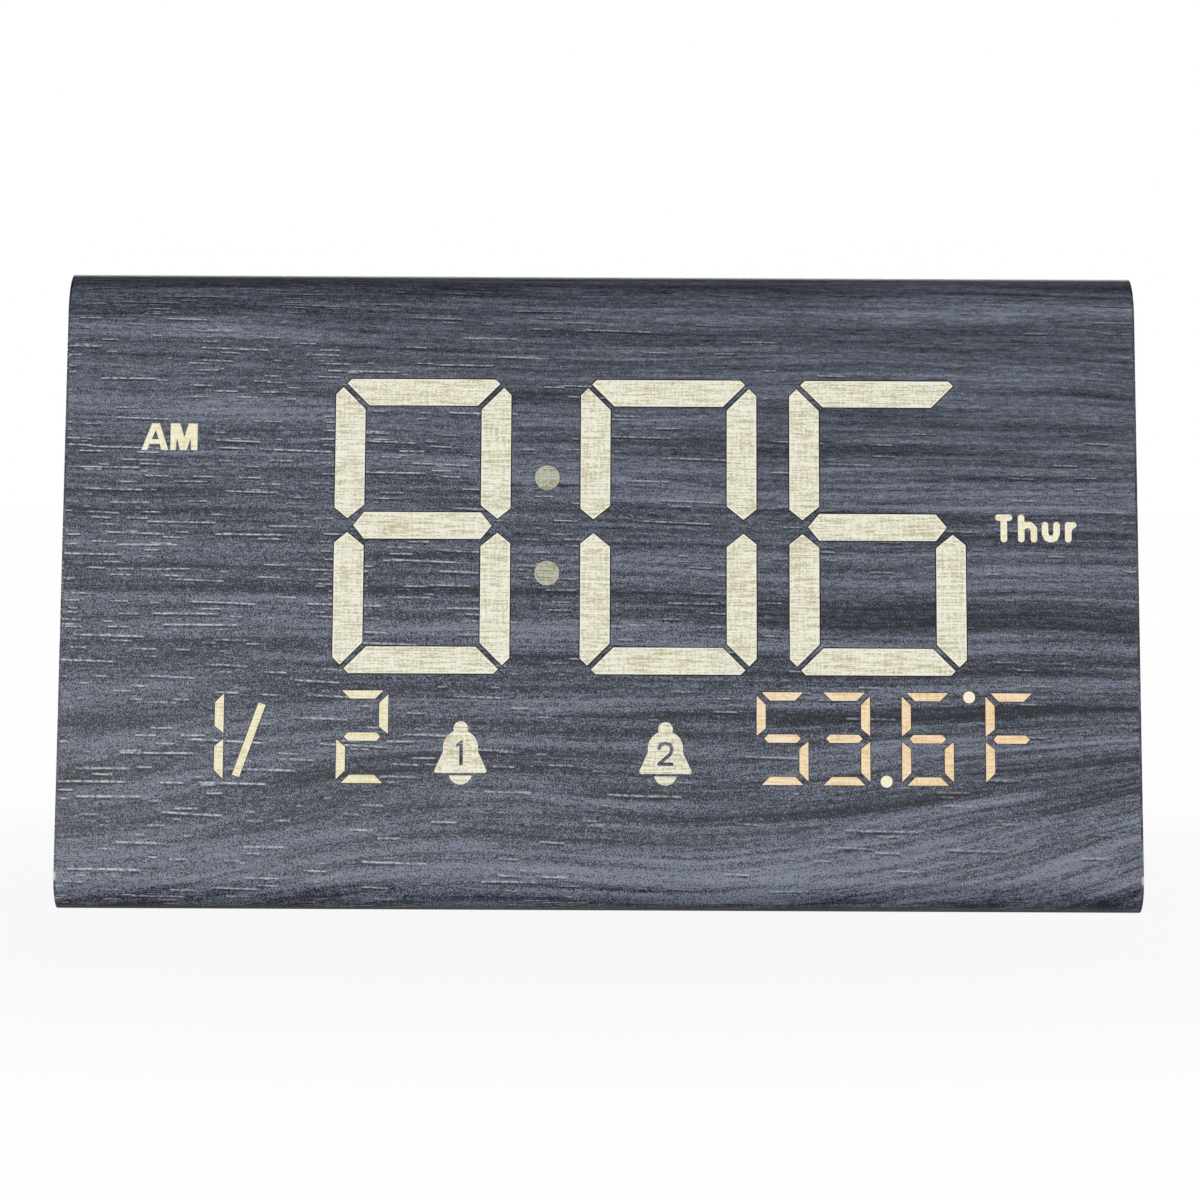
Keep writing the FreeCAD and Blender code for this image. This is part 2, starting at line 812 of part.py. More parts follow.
def numeral_one(left, bottom, near, far):
    """The numeral of the first alarm, with square ends."""
    return plate(outline(share_points(numeral_one_shares, left, bottom, numeral_width, numeral_height)),
                 near, far)


def numeral_two(left, bottom, near, far):
    """The numeral of the second alarm, drawn with an even stroke."""
    return drawn(numeral_two_shares, left, bottom, numeral_width, numeral_height, numeral_stroke, near, far)


def bell(across_share, numeral, near, far):
    """Bell with a knob and a clapper, and a numeral left out of it."""
    across, base = across_at(across_share), up_at(bell_rim_bottom_share)
    half = [(bell_rim_half, base), (bell_rim_half, base + bell_rim_thickness),
            (bell_waist_half, base + bell_waist_rise), (bell_waist_half, base + bell_dome_rise)]
    flare = plate(outline([(across + reach, up) for reach, up in half]
                          + [(across - reach, up) for reach, up in reversed(half)]), near, far)
    corners = [edge for edge in flare.Edges
               if edge.BoundBox.ZLength > (far - near) / 2 and edge.BoundBox.Center.y < base + bell_rim_round]
    knob_up = base + bell_height - bell_knob_radius
    body = fused([flare.makeFillet(bell_rim_round, corners),
                  disc(across, base + bell_dome_rise, bell_waist_half, near, far),
                  block(across - bell_neck_half, across + bell_neck_half, base + bell_dome_rise, knob_up,
                        near, far),
                  disc(across, knob_up, bell_knob_radius, near, far)])
    cut = numeral(across - numeral_width / 2, base + numeral_rise, near - overrun, far + overrun)
    flat = base - clapper_drop
    clapper = disc(across, flat + clapper_cut, clapper_radius, near, far)
    clapper = clapper.common(block(across - clapper_radius, across + clapper_radius, flat - clapper_radius,
                                   flat, near, far))
    return [body.cut(cut), clapper]


raised_lamps = {
    "am_indicator": noon_letters,
    "weekday_indicator": weekday_letters,
    "alarm_one_bell": lambda near, far: bell(bell_one_share, numeral_one, near, far),
    "alarm_two_bell": lambda near, far: bell(bell_two_share, numeral_two, near, far),
}


def box_plate(solids, near, far):
    """Rectangular plate behind a group of solids, with the letters' margin round it."""
    boxes = [solid.BoundBox for solid in solids]
    margin = letter_plate_margin
    left, right = min(box.XMin for box in boxes), max(box.XMax for box in boxes)
    bottom, top = min(box.YMin for box in boxes), max(box.YMax for box in boxes)
    return block(left - margin, right + margin, bottom - margin, top + margin, near, far)


def foil_windows():
    """Cuts through the foil for every lamp that shines, in the frame of the face."""
    cuts = [plate(face, -overrun, foil_thickness) for faces in lit_faces.values() for face in faces]
    for shape in raised_lamps.values():
        cuts += shape(-overrun, foil_thickness)
    return cuts


def spare_lamps():
    """Lamps of the afternoon and of the other days, which stay dark, as plain plates behind the foil."""
    near, far = foil_thickness, foil_thickness + letter_plate_thickness
    half = window_height * lamp_column_height_share / 2
    plates = []
    for letters, steps in ((noon_letters, noon_spare_steps), (weekday_letters, weekday_spare_steps)):
        lit = box_plate(letters(near, far), near, far).BoundBox
        for step in steps:
            up = lit.Center.y + step * window_height * lamp_pitch_share
            plates.append(block(lit.XMin, lit.XMax, up - half, up + half, near, far))
    return plates


def well(box):
    """Light well behind a lamp, in from its seat all round, and the places of the chips that light it."""
    short = min(box.XLength, box.YLength)
    along_across = box.XLength > box.YLength
    slim = max(box.XLength, box.YLength) > 2 * short
    end = max(well_ledge, short * well_end_share) if slim else well_ledge
    side_across, side_up = (end, well_ledge) if along_across else (well_ledge, end)
    near, far = foil_thickness, wall
    shaft = block(box.XMin + side_across, box.XMax - side_across, box.YMin + side_up, box.YMax - side_up,
                  near, far + overrun)
    length = max(box.XLength, box.YLength)
    count = max(1, round(length / led_spacing))
    chips = []
    for number in range(count):
        offset = length * ((number + 0.5) / count - 0.5)
        across = box.Center.x + (offset if along_across else 0)
        up = box.Center.y + (0 if along_across else offset)
        half_a, half_u = led_width / 2, led_length / 2
        if along_across:
            half_a, half_u = half_u, half_a
        chips.append(block(across - half_a, across + half_a, up - half_u, up + half_u,
                           wall - led_height, wall))
    return shaft, chips


def display_nodes():
    """Lamps, the mask that holds them and the board behind it."""
    seat, back = foil_thickness, foil_thickness + lens_thickness
    nodes = {}
    seats = []
    for name, faces in lit_faces.items():
        lenses = [plate(face, 0, back) for face in faces]
        nodes[name] = gathered([placed(lens, face_frame) for lens in lenses])
        seats += [plate(face, seat, back) for face in faces]
    plate_back = seat + letter_plate_thickness
    for name, shape in raised_lamps.items():
        base = box_plate(shape(seat, plate_back), seat, plate_back)
        nodes[name] = placed(fused([base] + shape(0, seat)), face_frame)
        seats.append(base)
    dark = [plate(face, seat, back) for face in unlit_faces] + spare_lamps()
    nodes["unlit_segments"] = gathered([placed(lens, face_frame) for lens in dark])
    seats += dark

    shafts, chips = [], []
    for lens in seats:
        shaft, lights = well(lens.BoundBox)
        shafts.append(shaft)
        chips += lights
    gap = mask_clearance
    mask = block(window_left + gap, window_right - gap, window_bottom + gap, window_top - gap, seat, wall)
    nodes["display_mask"] = placed(mask.cut(seats + shafts), face_frame)
    nodes["segment_leds"] = gathered([placed(chip, face_frame) for chip in chips])
    side, edge = led_board_side_margin, led_board_margin
    board = block(window_left - side, window_right + side, window_bottom - edge, window_top + edge,
                  wall, wall + led_board_thickness)
    far = wall + led_board_thickness + overrun
    board = board.cut([disc(across, up, board_screw_radius, wall - overrun, far)
                       for across, up in led_board_screw_places()])
    nodes["led_board"] = placed(board, face_frame)
    return nodes


cover_seat = cover_recess + cover_thickness
board_face = cover_seat + control_standoff
board_back = board_face + control_thickness
switch_top = board_face - switch_body_height
button_places = [(button_first + number * button_pitch, button_row) for number in range(button_count)]
button_names = ["set_button", "up_button", "down_button", "alarm_one_button", "alarm_two_button",
                "light_button"]
boss_places = [(control_left + boss_inset, control_bottom + boss_inset),
               (control_right - boss_inset, control_bottom + boss_inset),
               (control_left + boss_inset, control_top - boss_inset),
               (dimmer_across - boss_from_dimmer, control_top - boss_inset)]
dimmer_depth = cover_recess - dimmer_proud + dimmer_radius
volume_body_near = board_face - volume_body_depth
door_thickness = cover_thickness - door_gap
door_round = door_thickness / 2
door_low = door_up - door_height / 2
door_high = door_up + door_height / 2
door_axis_up = door_low + door_round
door_axis_depth = cover_recess + door_round
bay_width = cell_length + cell_nub_length + contact_thickness + leaf_depth
bay_height = cell_pitch + 2 * cell_radius + 2 * bay_side_gap
bay_floor = cover_seat + tray_depth
power_board_top = power_board_up + power_board_thickness
jack_up = power_board_top + jack_size / 2
port_up = power_board_top + port_height / 2
port_back = cover_recess + port_depth


def centred(across, up, width, height, near, far):
    """Rectangular plate about a centre in a local frame."""
    return block(across - width / 2, across + width / 2, up - height / 2, up + height / 2, near, far)


def rod(start, end, up, depth, radius):
    """Round bar that runs across, at a height and a depth of the rear frame."""
    return Part.makeCylinder(radius, end - start, Vector(start, up, -depth), Vector(1, 0, 0))


def half_chord(radius, distance):
    """Half of the width that a circle has at a distance from its centre."""
    return math.sqrt(radius ** 2 - distance ** 2)


def rounded_wire(points, radius):
    """Straight runs joined by tangent arcs."""
    edges, start = [], points[0]
    for before, corner, after in zip(points, points[1:], points[2:]):
        back, ahead = (before - corner).normalize(), (after - corner).normalize()
        turn = math.pi - back.getAngle(ahead)
        reach = radius * math.tan(turn / 2)
        first, last = corner + back * reach, corner + ahead * reach
        middle = corner + (back + ahead).normalize() * (radius / math.cos(turn / 2) - radius)
        edges += [Part.makeLine(start, first), Part.Arc(first, middle, last).toShape()]
        start = last
    edges.append(Part.makeLine(start, points[-1]))
    return Part.Wire(edges)


def lead(points, radius, bend):
    """Round wire along straight runs and arcs."""
    path = rounded_wire(points, bend)
    circle = Part.Wire(Part.makeCircle(radius, points[0], points[1] - points[0]))
    return path.makePipeShell([circle], True, False)


def grille_holes():
    """Holes over the speaker in rings about its centre."""
    places = [(speaker_across, speaker_up)]
    for ring in range(1, grille_rings + 1):
        for number in range(grille_first_ring * ring):
            angle = 2 * math.pi * number / (grille_first_ring * ring)
            places.append((speaker_across + ring * grille_pitch * math.cos(angle),
                           speaker_up + ring * grille_pitch * math.sin(angle)))
    return [disc(across, up, grille_hole_radius, cover_recess - overrun, cover_seat + overrun)
            for across, up in places]


def door_opening(near, far):
    """Hole in the cover that the battery door closes."""
    return centred(0, door_up, door_width + 2 * door_gap, door_height + 2 * door_gap, near, far)


def cover_openings():
    """Everything cut through the rear cover."""
    near, far = cover_recess - overrun, cover_seat + overrun
    cuts = [disc(across, up, button_radius + button_gap, near, far) for across, up in button_places]
    cuts += [disc(across, up, cover_screw_radius + cover_clearance, near, far)
             for across, up in cover_screw_places()]
    dimmer_half = half_chord(dimmer_radius, dimmer_depth - cover_seat) + dimmer_slot_gap
    cuts.append(centred(dimmer_across, dimmer_row, dimmer_thickness + 2 * dimmer_slot_gap, 2 * dimmer_half,
                        near, far))
    cuts.append(centred(volume_across, button_row, volume_knob_width + volume_travel + 2 * volume_slot_gap,
                        volume_knob_height + 2 * volume_slot_gap, near, far))
    cuts += grille_holes()
    cuts.append(door_opening(near, far))
    bore = door_pin_radius + door_pin_fit
    reach = door_width / 2 + door_pin_reach + door_gap
    cuts.append(rod(-reach, reach, door_axis_up, door_axis_depth, bore))
    cuts.append(disc(jack_across, jack_up, jack_hole_radius, near, far))
    cuts.append(centred(port_across, port_up, port_width + 2 * socket_gap, port_height + 2 * socket_gap,
                        near, far))
    for number in range(vent_count):
        across = sensor_across + (number - (vent_count - 1) / 2) * vent_pitch
        cuts.append(centred(across, sensor_up, vent_width, vent_height, near, far))
    return cuts


def cover_fittings():
    """Bosses, ring, ribs and clip moulded on the inside of the cover."""
    parts = [disc(across, up, boss_radius, cover_seat, board_face) for across, up in boss_places]
    ring_inner = speaker_radius + speaker_ring_gap
    ring_far = cover_seat + speaker_rim_depth + speaker_ring_gap
    ring = disc(speaker_across, speaker_up, ring_inner + speaker_ring_wall, cover_seat, ring_far)
    parts.append(ring.cut(disc(speaker_across, speaker_up, ring_inner, cover_seat, ring_far)))
    for across in (power_board_left + rib_inset, power_board_right - rib_inset):
        left, right = across - rib_thickness / 2, across + rib_thickness / 2
        parts.append(block(left, right, power_board_up - rib_height, power_board_up, cover_seat,
                           cover_seat + rib_depth))
    for side in (-1, 1):
        across = sensor_across + side * (sensor_radius + clip_gap + clip_thickness / 2)
        parts.append(centred(across, sensor_up, clip_thickness, clip_height, cover_seat,
                             cover_seat + sensor_standoff + sensor_radius))
    return parts


def screw(across, up, shank, head, head_top, head_height, length):
    """Pan-head screw with a cross cut in its head, head towards the small depth."""
    pan = disc(across, up, head, head_top, head_top + head_height)
    pan = pan.makeFillet(head_height / 2, [edge for edge in pan.Edges if edge.Closed
                                           and abs(edge.CenterOfMass.z + head_top) < head_height / 2])
    body = fused([pan, disc(across, up, shank, head_top + head_height, head_top + head_height + length)])
    slot_far = head_top + screw_slot_depth
    slot_length = screw_slot_share * head
    for width, height in ((slot_length, screw_slot_width), (screw_slot_width, slot_length)):
        body = body.cut(centred(across, up, width, height, head_top - overrun, slot_far))
    return body


def board_screw_shank(across, up):
    """Shank of a control board screw, through the board and into its boss."""
    return disc(across, up, board_screw_radius, board_back - board_screw_length, board_back)


def cover_nodes():
    """Rear cover and the screws that hold it."""
    body = rear_slab(cover_lip + cover_clearance, cover_recess, cover_seat,
                     half_width - side_lip - cover_clearance)
    fittings = [placed(part, rear_frame) for part in cover_fittings()]
    shanks = [board_screw_shank(across, up) for across, up in boss_places]
    cuts = [placed(cut, rear_frame) for cut in cover_openings() + shanks]
    head_top = cover_recess - cover_screw_head_height
    screws = [screw(across, up, cover_screw_radius, cover_screw_head_radius, head_top,
                    cover_screw_head_height, cover_screw_length) for across, up in cover_screw_places()]
    return {"rear_cover": body.multiFuse(fittings).removeSplitter().cut(cuts),
            "cover_screws": gathered([placed(part, rear_frame) for part in screws])}


def board_fixings():
    """Screws of both boards and the posts of the snooze strip."""
    parts = []
    back = wall + led_board_thickness
    for across, up in led_board_screw_places():
        head = disc(across, up, board_screw_head_radius, back, back + board_screw_head_height)
        shank = disc(across, up, board_screw_radius, back - board_screw_length, back)
        parts.append(placed(fused([head, shank]), face_frame))
    for across, up in boss_places:
        head = disc(across, up, board_screw_head_radius, board_back, board_back + board_screw_head_height)
        parts.append(placed(fused([head, board_screw_shank(across, up)]), rear_frame))
    for across, along in snooze_post_places():
        post = disc(across, along, post_radius, wall, snooze_board_depth())
        thread = disc(across, along, post_thread_radius, wall - post_thread_length, wall)
        parts.append(placed(fused([post, thread]), top_frame))
    return gathered(parts)


def switch(across, up, face):
    """Small square switch standing on a board, with the bore of its plunger."""
    top = face - switch_body_height
    bore = plunger_proud + button_travel + plunger_bore_gap
    body = centred(across, up, switch_size, switch_size, top, face)
    return body.cut(disc(across, up, plunger_radius + plunger_bore_gap, top - overrun, top + bore))


def plunger(across, up, face):
    """Plunger of a switch, half of it inside the body."""
    top = face - switch_body_height
    return disc(across, up, plunger_radius, top - plunger_proud, top + plunger_proud)


def set_button(across, up):
    """Round button with a flange behind the cover and a stem that meets its plunger."""
    crown = cover_recess - button_proud
    flange_near = cover_seat + button_rest_gap
    cap = disc(across, up, button_radius, crown, flange_near)
    cap = cap.makeFillet(button_edge_radius, [edge for edge in cap.Edges if edge.Closed
                                              and abs(edge.CenterOfMass.z + crown) < button_edge_radius])
    flange_far = flange_near + button_flange_thickness
    flange = disc(across, up, button_flange_radius, flange_near, flange_far)
    stem = disc(across, up, button_stem_radius, flange_far, switch_top - plunger_proud)
    return gathered([fused([cap, flange, stem]), plunger(across, up, board_face)])


def control_nodes():
    """Control board with its switches, and the buttons that press them."""
    nodes = {}
    board = block(control_left, control_right, control_bottom, control_top, board_face, board_back)
    notch = half_chord(dimmer_radius, board_face - dimmer_depth) + dimmer_slot_gap
    cuts = [centred(dimmer_across, dimmer_row, dimmer_thickness + 2 * dimmer_slot_gap, 2 * notch,
                    board_face - overrun, board_back + overrun)]
    cuts += [board_screw_shank(across, up) for across, up in boss_places]
    nodes["control_board"] = board.cut(cuts)
    nodes["button_switches"] = gathered([switch(across, up, board_face) for across, up in button_places])
    chip_row = control_bottom + chip_row_rise
    chips = [(clock_chip_share, clock_chip_width, clock_chip_height, clock_chip_rise),
             (crystal_share, crystal_width, crystal_height, crystal_rise),
             (sound_chip_share, sound_chip_width, sound_chip_height, sound_chip_rise)]
    nodes["control_chips"] = gathered([centred(half_width * share, chip_row, width, height, board_back,
                                               board_back + rise) for share, width, height, rise in chips])
    for name, (across, up) in zip(button_names, button_places):
        nodes[name] = set_button(across, up)
    return {name: placed(shape, rear_frame) for name, shape in nodes.items()}


def dimmer_nodes():
    """Brightness wheel that shows through the cover, and the dial it turns."""
    left, right = dimmer_across - dimmer_thickness / 2, dimmer_across + dimmer_thickness / 2
    wheel = rod(left, right, dimmer_row, dimmer_depth, dimmer_radius)
    grooves = []
    for number in range(dimmer_groove_count):
        angle = 2 * math.pi * number / dimmer_groove_count
        grooves.append(rod(left - overrun, right + overrun, dimmer_row + dimmer_radius * math.sin(angle),
                           dimmer_depth + dimmer_radius * math.cos(angle), dimmer_groove_radius))
    pot_left = right + dimmer_slot_gap
    pot_right = pot_left + pot_thickness
    shaft = rod(right, pot_right, dimmer_row, dimmer_depth, dimmer_shaft_radius)
    pot = block(pot_left, pot_right, dimmer_row - pot_height / 2, dimmer_row + pot_height / 2,
                cover_seat + pot_front_gap, board_face)
    bore = rod(pot_left - overrun, pot_right + overrun, dimmer_row, dimmer_depth,
               dimmer_shaft_radius + dimmer_shaft_fit)
    return {"dimmer_wheel": placed(fused([wheel.cut(grooves), shaft]), rear_frame),
            "dimmer_pot": placed(pot.cut(bore), rear_frame)}


def volume_nodes():
    """Loudness switch: a knob that slides across in its body."""
    near, gap = volume_body_near, volume_slot_gap
    body = centred(volume_across, button_row, volume_body_width, volume_body_height, near, board_face)
    channel = centred(volume_across, button_row, volume_knob_width + volume_travel + 2 * gap,
                      volume_shoe_height + 2 * gap, near - overrun, near + volume_shoe_depth + gap)
    rest = volume_across - volume_travel / 2
    knob = centred(rest, button_row, volume_knob_width, volume_knob_height,
                   cover_recess - volume_knob_proud, near - gap)
    shoe = centred(rest, button_row, volume_knob_width, volume_shoe_height, near - gap,
                   near + volume_shoe_depth)
    return {"volume_switch": placed(body.cut(channel), rear_frame),
            "volume_knob": placed(fused([knob, shoe]), rear_frame)}


def speaker_node():
    """Small round speaker that faces the grille."""
    rim_far = cover_seat + speaker_rim_depth
    basket_far = rim_far + speaker_basket_depth
    rim = disc(speaker_across, speaker_up, speaker_radius, cover_seat, rim_far)
    basket = Part.makeCone(speaker_magnet_radius, speaker_basket_radius, speaker_basket_depth,
                           Vector(speaker_across, speaker_up, -basket_far), Vector(0, 0, 1))
    magnet = disc(speaker_across, speaker_up, speaker_magnet_radius, basket_far,
                  basket_far + speaker_magnet_depth)
    return placed(fused([rim, basket, magnet]), rear_frame)


def sensor_node():
    """Temperature bead in its clip, with two fine legs up to the control board."""
    depth = cover_seat + sensor_standoff
    low = sensor_up - sensor_length / 2
    high = low + sensor_length
    bead = Part.makeCylinder(sensor_radius, sensor_length, Vector(sensor_across, low, -depth),
                             Vector(0, 1, 0))
    legs = []
    for side in (-1, 1):
        across = sensor_across + side * sensor_radius / 2
        landing = control_bottom + boss_inset / 2
        legs.append(lead([Vector(across, high, -depth), Vector(across, landing, -depth),
                          Vector(across, landing, -board_face)], leg_radius, lead_bend))
    return placed(gathered([bead] + legs), rear_frame)


def battery_nodes():
    """Battery tray behind the cover, its contacts, the two cells and the hinged door."""
    rim = tray_rim + door_gap
    flange = centred(0, door_up, door_width + 2 * rim, door_height + 2 * rim, cover_seat,
                     cover_seat + tray_wall)
    cup = centred(0, door_up, bay_width + 2 * tray_wall, bay_height + 2 * tray_wall, cover_seat,
                  bay_floor + tray_wall)
    bay = centred(0, door_up, bay_width, bay_height, cover_seat - overrun, bay_floor)
    depth = bay_floor - cell_radius
    cells, contacts = [], []
    for side in (-1, 1):
        up = door_up + side * cell_pitch / 2
        wall_end = -side * bay_width / 2
        flat_end = wall_end + side * leaf_depth
        far_end = flat_end + side * cell_length
        nub_end = far_end + side * cell_nub_length
        can = rod(min(flat_end, far_end), max(flat_end, far_end), up, depth, cell_radius)
        nub = rod(min(far_end, nub_end), max(far_end, nub_end), up, depth, cell_nub_radius)
        cells.append(fused([can, nub]))
        plate_end = nub_end + side * contact_thickness
        contacts.append(block(min(nub_end, plate_end), max(nub_end, plate_end), up - contact_size / 2,
                              up + contact_size / 2, depth - contact_size / 2, bay_floor))
        bow_radius = (contact_size ** 2 / 4 + leaf_depth ** 2) / (2 * leaf_depth)
        centre = flat_end - side * bow_radius
        low = up - contact_size / 2
        base = Vector(centre, low, -depth)
        upward = Vector(0, 1, 0)
        bow = Part.makeCylinder(bow_radius, contact_size, base, upward)
        bow = bow.cut(Part.makeCylinder(bow_radius - contact_thickness, contact_size, base, upward))
        contacts.append(bow.common(block(min(wall_end, flat_end), max(wall_end, flat_end), low,
                                         low + contact_size, depth - contact_size, depth + contact_size)))
    half = door_width / 2
    leaf = block(-half, half, door_axis_up, door_high, cover_recess, cover_recess + door_thickness)
    leaf = fused([leaf, rod(-half, half, door_axis_up, door_axis_depth, door_round),
                  rod(-half - door_pin_reach, half + door_pin_reach, door_axis_up, door_axis_depth,
                      door_pin_radius)])
    notch = disc(0, door_high, finger_notch_radius, cover_recess - overrun,
                 cover_recess + finger_notch_depth)
    return {"battery_tray": placed(flange.fuse(cup).removeSplitter().cut(bay), rear_frame),
            "battery_contacts": gathered([placed(part, rear_frame) for part in contacts]),
            "backup_cells": gathered([placed(part, rear_frame) for part in cells]),
            "battery_door": placed(leaf.cut(notch), rear_frame)}


def socket_nodes():
    """Power board with its two sockets."""
    board = block(power_board_left, power_board_right, power_board_up, power_board_top, cover_seat,
                  cover_seat + power_board_depth)
    jack = centred(jack_across, jack_up, jack_size, jack_size, cover_seat, cover_seat + jack_depth)
    jack = jack.cut(disc(jack_across, jack_up, jack_bore_radius, cover_seat - overrun,
                         cover_seat + jack_bore_depth))
    pin = disc(jack_across, jack_up, jack_pin_radius, cover_seat + jack_bore_depth - jack_pin_length,
               cover_seat + jack_bore_depth)
    shell = centred(port_across, port_up, port_width, port_height, cover_recess, port_back)
    inner_width, inner_height = port_width - 2 * port_wall, port_height - 2 * port_wall
    shell = shell.cut(centred(port_across, port_up, inner_width, inner_height, cover_recess - overrun,
                              port_back + overrun))
    base = centred(port_across, port_up, inner_width, inner_height, port_back - port_base_depth, port_back)
    tongue = centred(port_across, port_up + port_tongue_drop, port_tongue_width, port_tongue_thickness,
                     port_back - port_base_depth - port_tongue_length, port_back - port_base_depth)
    nodes = {"power_board": board, "power_jack": jack, "jack_pin": pin, "charging_port": shell,
             "port_tongue": fused([base, tongue])}
    return {name: placed(shape, rear_frame) for name, shape in nodes.items()}


def snooze_nodes():
    """Snooze bar in the top, and the strip with its switch underneath."""
    flange_near = wall + snooze_rest_gap
    flange_far = flange_near + snooze_flange_thickness
    cap = snooze_opening(0, -snooze_proud, flange_near)
    flange = centred(0, snooze_back, snooze_width + 2 * snooze_flange, snooze_depth + 2 * snooze_flange,
                     flange_near, flange_far)
    strip = snooze_board_depth()
    reach = snooze_post_places()[1][0] + post_radius + snooze_strip_margin
    board = centred(0, snooze_back, 2 * reach, snooze_board_height, strip, strip + control_thickness)
    nodes = {"snooze_bar": gathered([fused([cap, flange]), plunger(0, snooze_back, strip)]),
             "snooze_switch": switch(0, snooze_back, strip), "snooze_board": board}
    return {name: placed(shape, top_frame) for name, shape in nodes.items()}


def lead_nodes():
    """Ribbon between the two boards, and the round leads of speaker, cells and sockets."""
    start_depth = wall + led_board_thickness
    ribbon_up_face = up_at(ribbon_up_share)
    ribbon_up_rear = control_bottom + ribbon_above_edge
    face_plug = centred(ribbon_across, ribbon_up_face, ribbon_width + 2 * plug_margin, plug_height,
                        start_depth, start_depth + plug_depth)
    rear_plug = centred(-ribbon_across, ribbon_up_rear, ribbon_width + 2 * plug_margin, plug_height,
                        board_back, board_back + plug_depth)
    start = face_frame.multVec(Vector(ribbon_across, ribbon_up_face, -start_depth - plug_depth))
    end = rear_frame.multVec(Vector(-ribbon_across, ribbon_up_rear, -board_back - plug_depth))
    points = [start, start - face_normal * ribbon_run, end - rear_normal * ribbon_run, end]
    path = rounded_wire(points, ribbon_bend_radius)
    side, rise = Vector(ribbon_width / 2, 0, 0), face_up * (ribbon_thickness / 2)
    section = Part.makePolygon([start - side - rise, start + side - rise, start + side + rise,
                                start - side + rise, start - side - rise])
    ribbon = path.makePipeShell([section], True, False)

    landing = control_bottom + boss_inset
    magnet_back = cover_seat + speaker_rim_depth + speaker_basket_depth + speaker_magnet_depth
    tray_top = door_up + bay_height / 2 + tray_wall
    speaker_lead_across = speaker_across - speaker_lead_offset
    power_lead_across = port_across + power_lead_offset
    routes = {speaker_lead_across: [(speaker_up, magnet_back), (speaker_up, speaker_lead_depth),
                                    (landing, speaker_lead_depth), (landing, board_back)],
              battery_lead_across: [(tray_top, battery_lead_depth), (landing, battery_lead_depth),
                                    (landing, board_back)],
              power_lead_across: [(power_board_top, power_lead_depth), (landing, power_lead_depth),
                                  (landing, board_back)]}
    leads = [lead([Vector(across, up, -depth) for up, depth in route], lead_radius, lead_bend)
             for across, route in routes.items()]
    plugs = [placed(face_plug, face_frame), placed(rear_plug, rear_frame)]
    return {"ribbon_cable": gathered(plugs + [ribbon]),
            "inner_leads": gathered([placed(wire, rear_frame) for wire in leads])}


def main():
    """Build every node and write one STEP file for each."""
    nodes = {}
    for group in (case_nodes, display_nodes, cover_nodes, control_nodes, dimmer_nodes, volume_nodes,
                  battery_nodes, socket_nodes, snooze_nodes, lead_nodes):
        nodes.update(group())
    nodes["board_fixings"] = board_fixings()
    nodes["speaker"] = speaker_node()
    nodes["temperature_sensor"] = sensor_node()
    os.makedirs("parts", exist_ok=True)
    for name, shape in nodes.items():
        shape.exportStep("parts/" + name + ".step")
        print(name, len(shape.Solids), round(shape.Volume, 2), shape.isValid())


main()
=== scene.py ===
"""Desk clock with a lit segment display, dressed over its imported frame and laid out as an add-on."""
import json
import math

import bmesh
import bpy
from mathutils import Matrix, Vector


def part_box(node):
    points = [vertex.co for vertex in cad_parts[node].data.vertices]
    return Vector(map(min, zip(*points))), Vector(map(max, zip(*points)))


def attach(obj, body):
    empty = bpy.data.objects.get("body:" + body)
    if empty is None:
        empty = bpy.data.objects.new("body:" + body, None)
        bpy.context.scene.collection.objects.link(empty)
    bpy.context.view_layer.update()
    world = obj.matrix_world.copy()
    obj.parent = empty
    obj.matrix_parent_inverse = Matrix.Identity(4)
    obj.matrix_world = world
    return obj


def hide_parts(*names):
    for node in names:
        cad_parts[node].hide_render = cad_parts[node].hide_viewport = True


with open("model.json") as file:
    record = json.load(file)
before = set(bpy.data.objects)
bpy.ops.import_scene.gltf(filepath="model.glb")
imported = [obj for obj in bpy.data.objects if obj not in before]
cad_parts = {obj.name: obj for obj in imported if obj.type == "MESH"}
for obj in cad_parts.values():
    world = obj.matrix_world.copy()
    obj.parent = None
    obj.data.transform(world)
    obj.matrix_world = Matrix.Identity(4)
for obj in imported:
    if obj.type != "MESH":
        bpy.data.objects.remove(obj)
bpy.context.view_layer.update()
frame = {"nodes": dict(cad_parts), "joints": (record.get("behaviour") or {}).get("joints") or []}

bl_info = {
    "name": "Segment desk clock",
    "version": (1, 0, 0),
    "blender": (4, 5, 0),
    "location": "View3D > Sidebar > Clock",
    "description": "Dresses the pieces of a foil-wrapped segment clock",
    "category": "Object",
}

MM = 0.001
MERGE_DISTANCE = 1e-6
FACING = 0.9998
FACING_REACH = 0.003 * MM
JOIN_ANGLE = math.radians(0.5)
TURN_STEPS = 32
DISH_RINGS = 5

# Dish of the round keys and of the snooze bar: width of the rim left round it, and of each ring.
KEY_RIM, KEY_RING = 0.3 * MM, 0.38 * MM
BAR_RIM, BAR_RING = 0.65 * MM, 0.3 * MM

# Places on the case in millimetres: its ends, their lower front corner, the middles of its face and top.
END_ACROSS = 97.9
CORNER_DEEP = -27.4
CORNER_UP = 6.8
FACE_MIDDLE = 58.0
TOP_MIDDLE = 5.0

# Swirl of the foil: where its bands start to rise at the right, in a curve, and at the left, in a slope.
RISE_RIGHT_FROM, RISE_RIGHT_CURVE = 5.0, 0.0021
RISE_LEFT_FROM, RISE_LEFT_SLOPE = -20.0, 0.16
LEVEL_FALL = 0.02
ROW_TURN = 0.0103

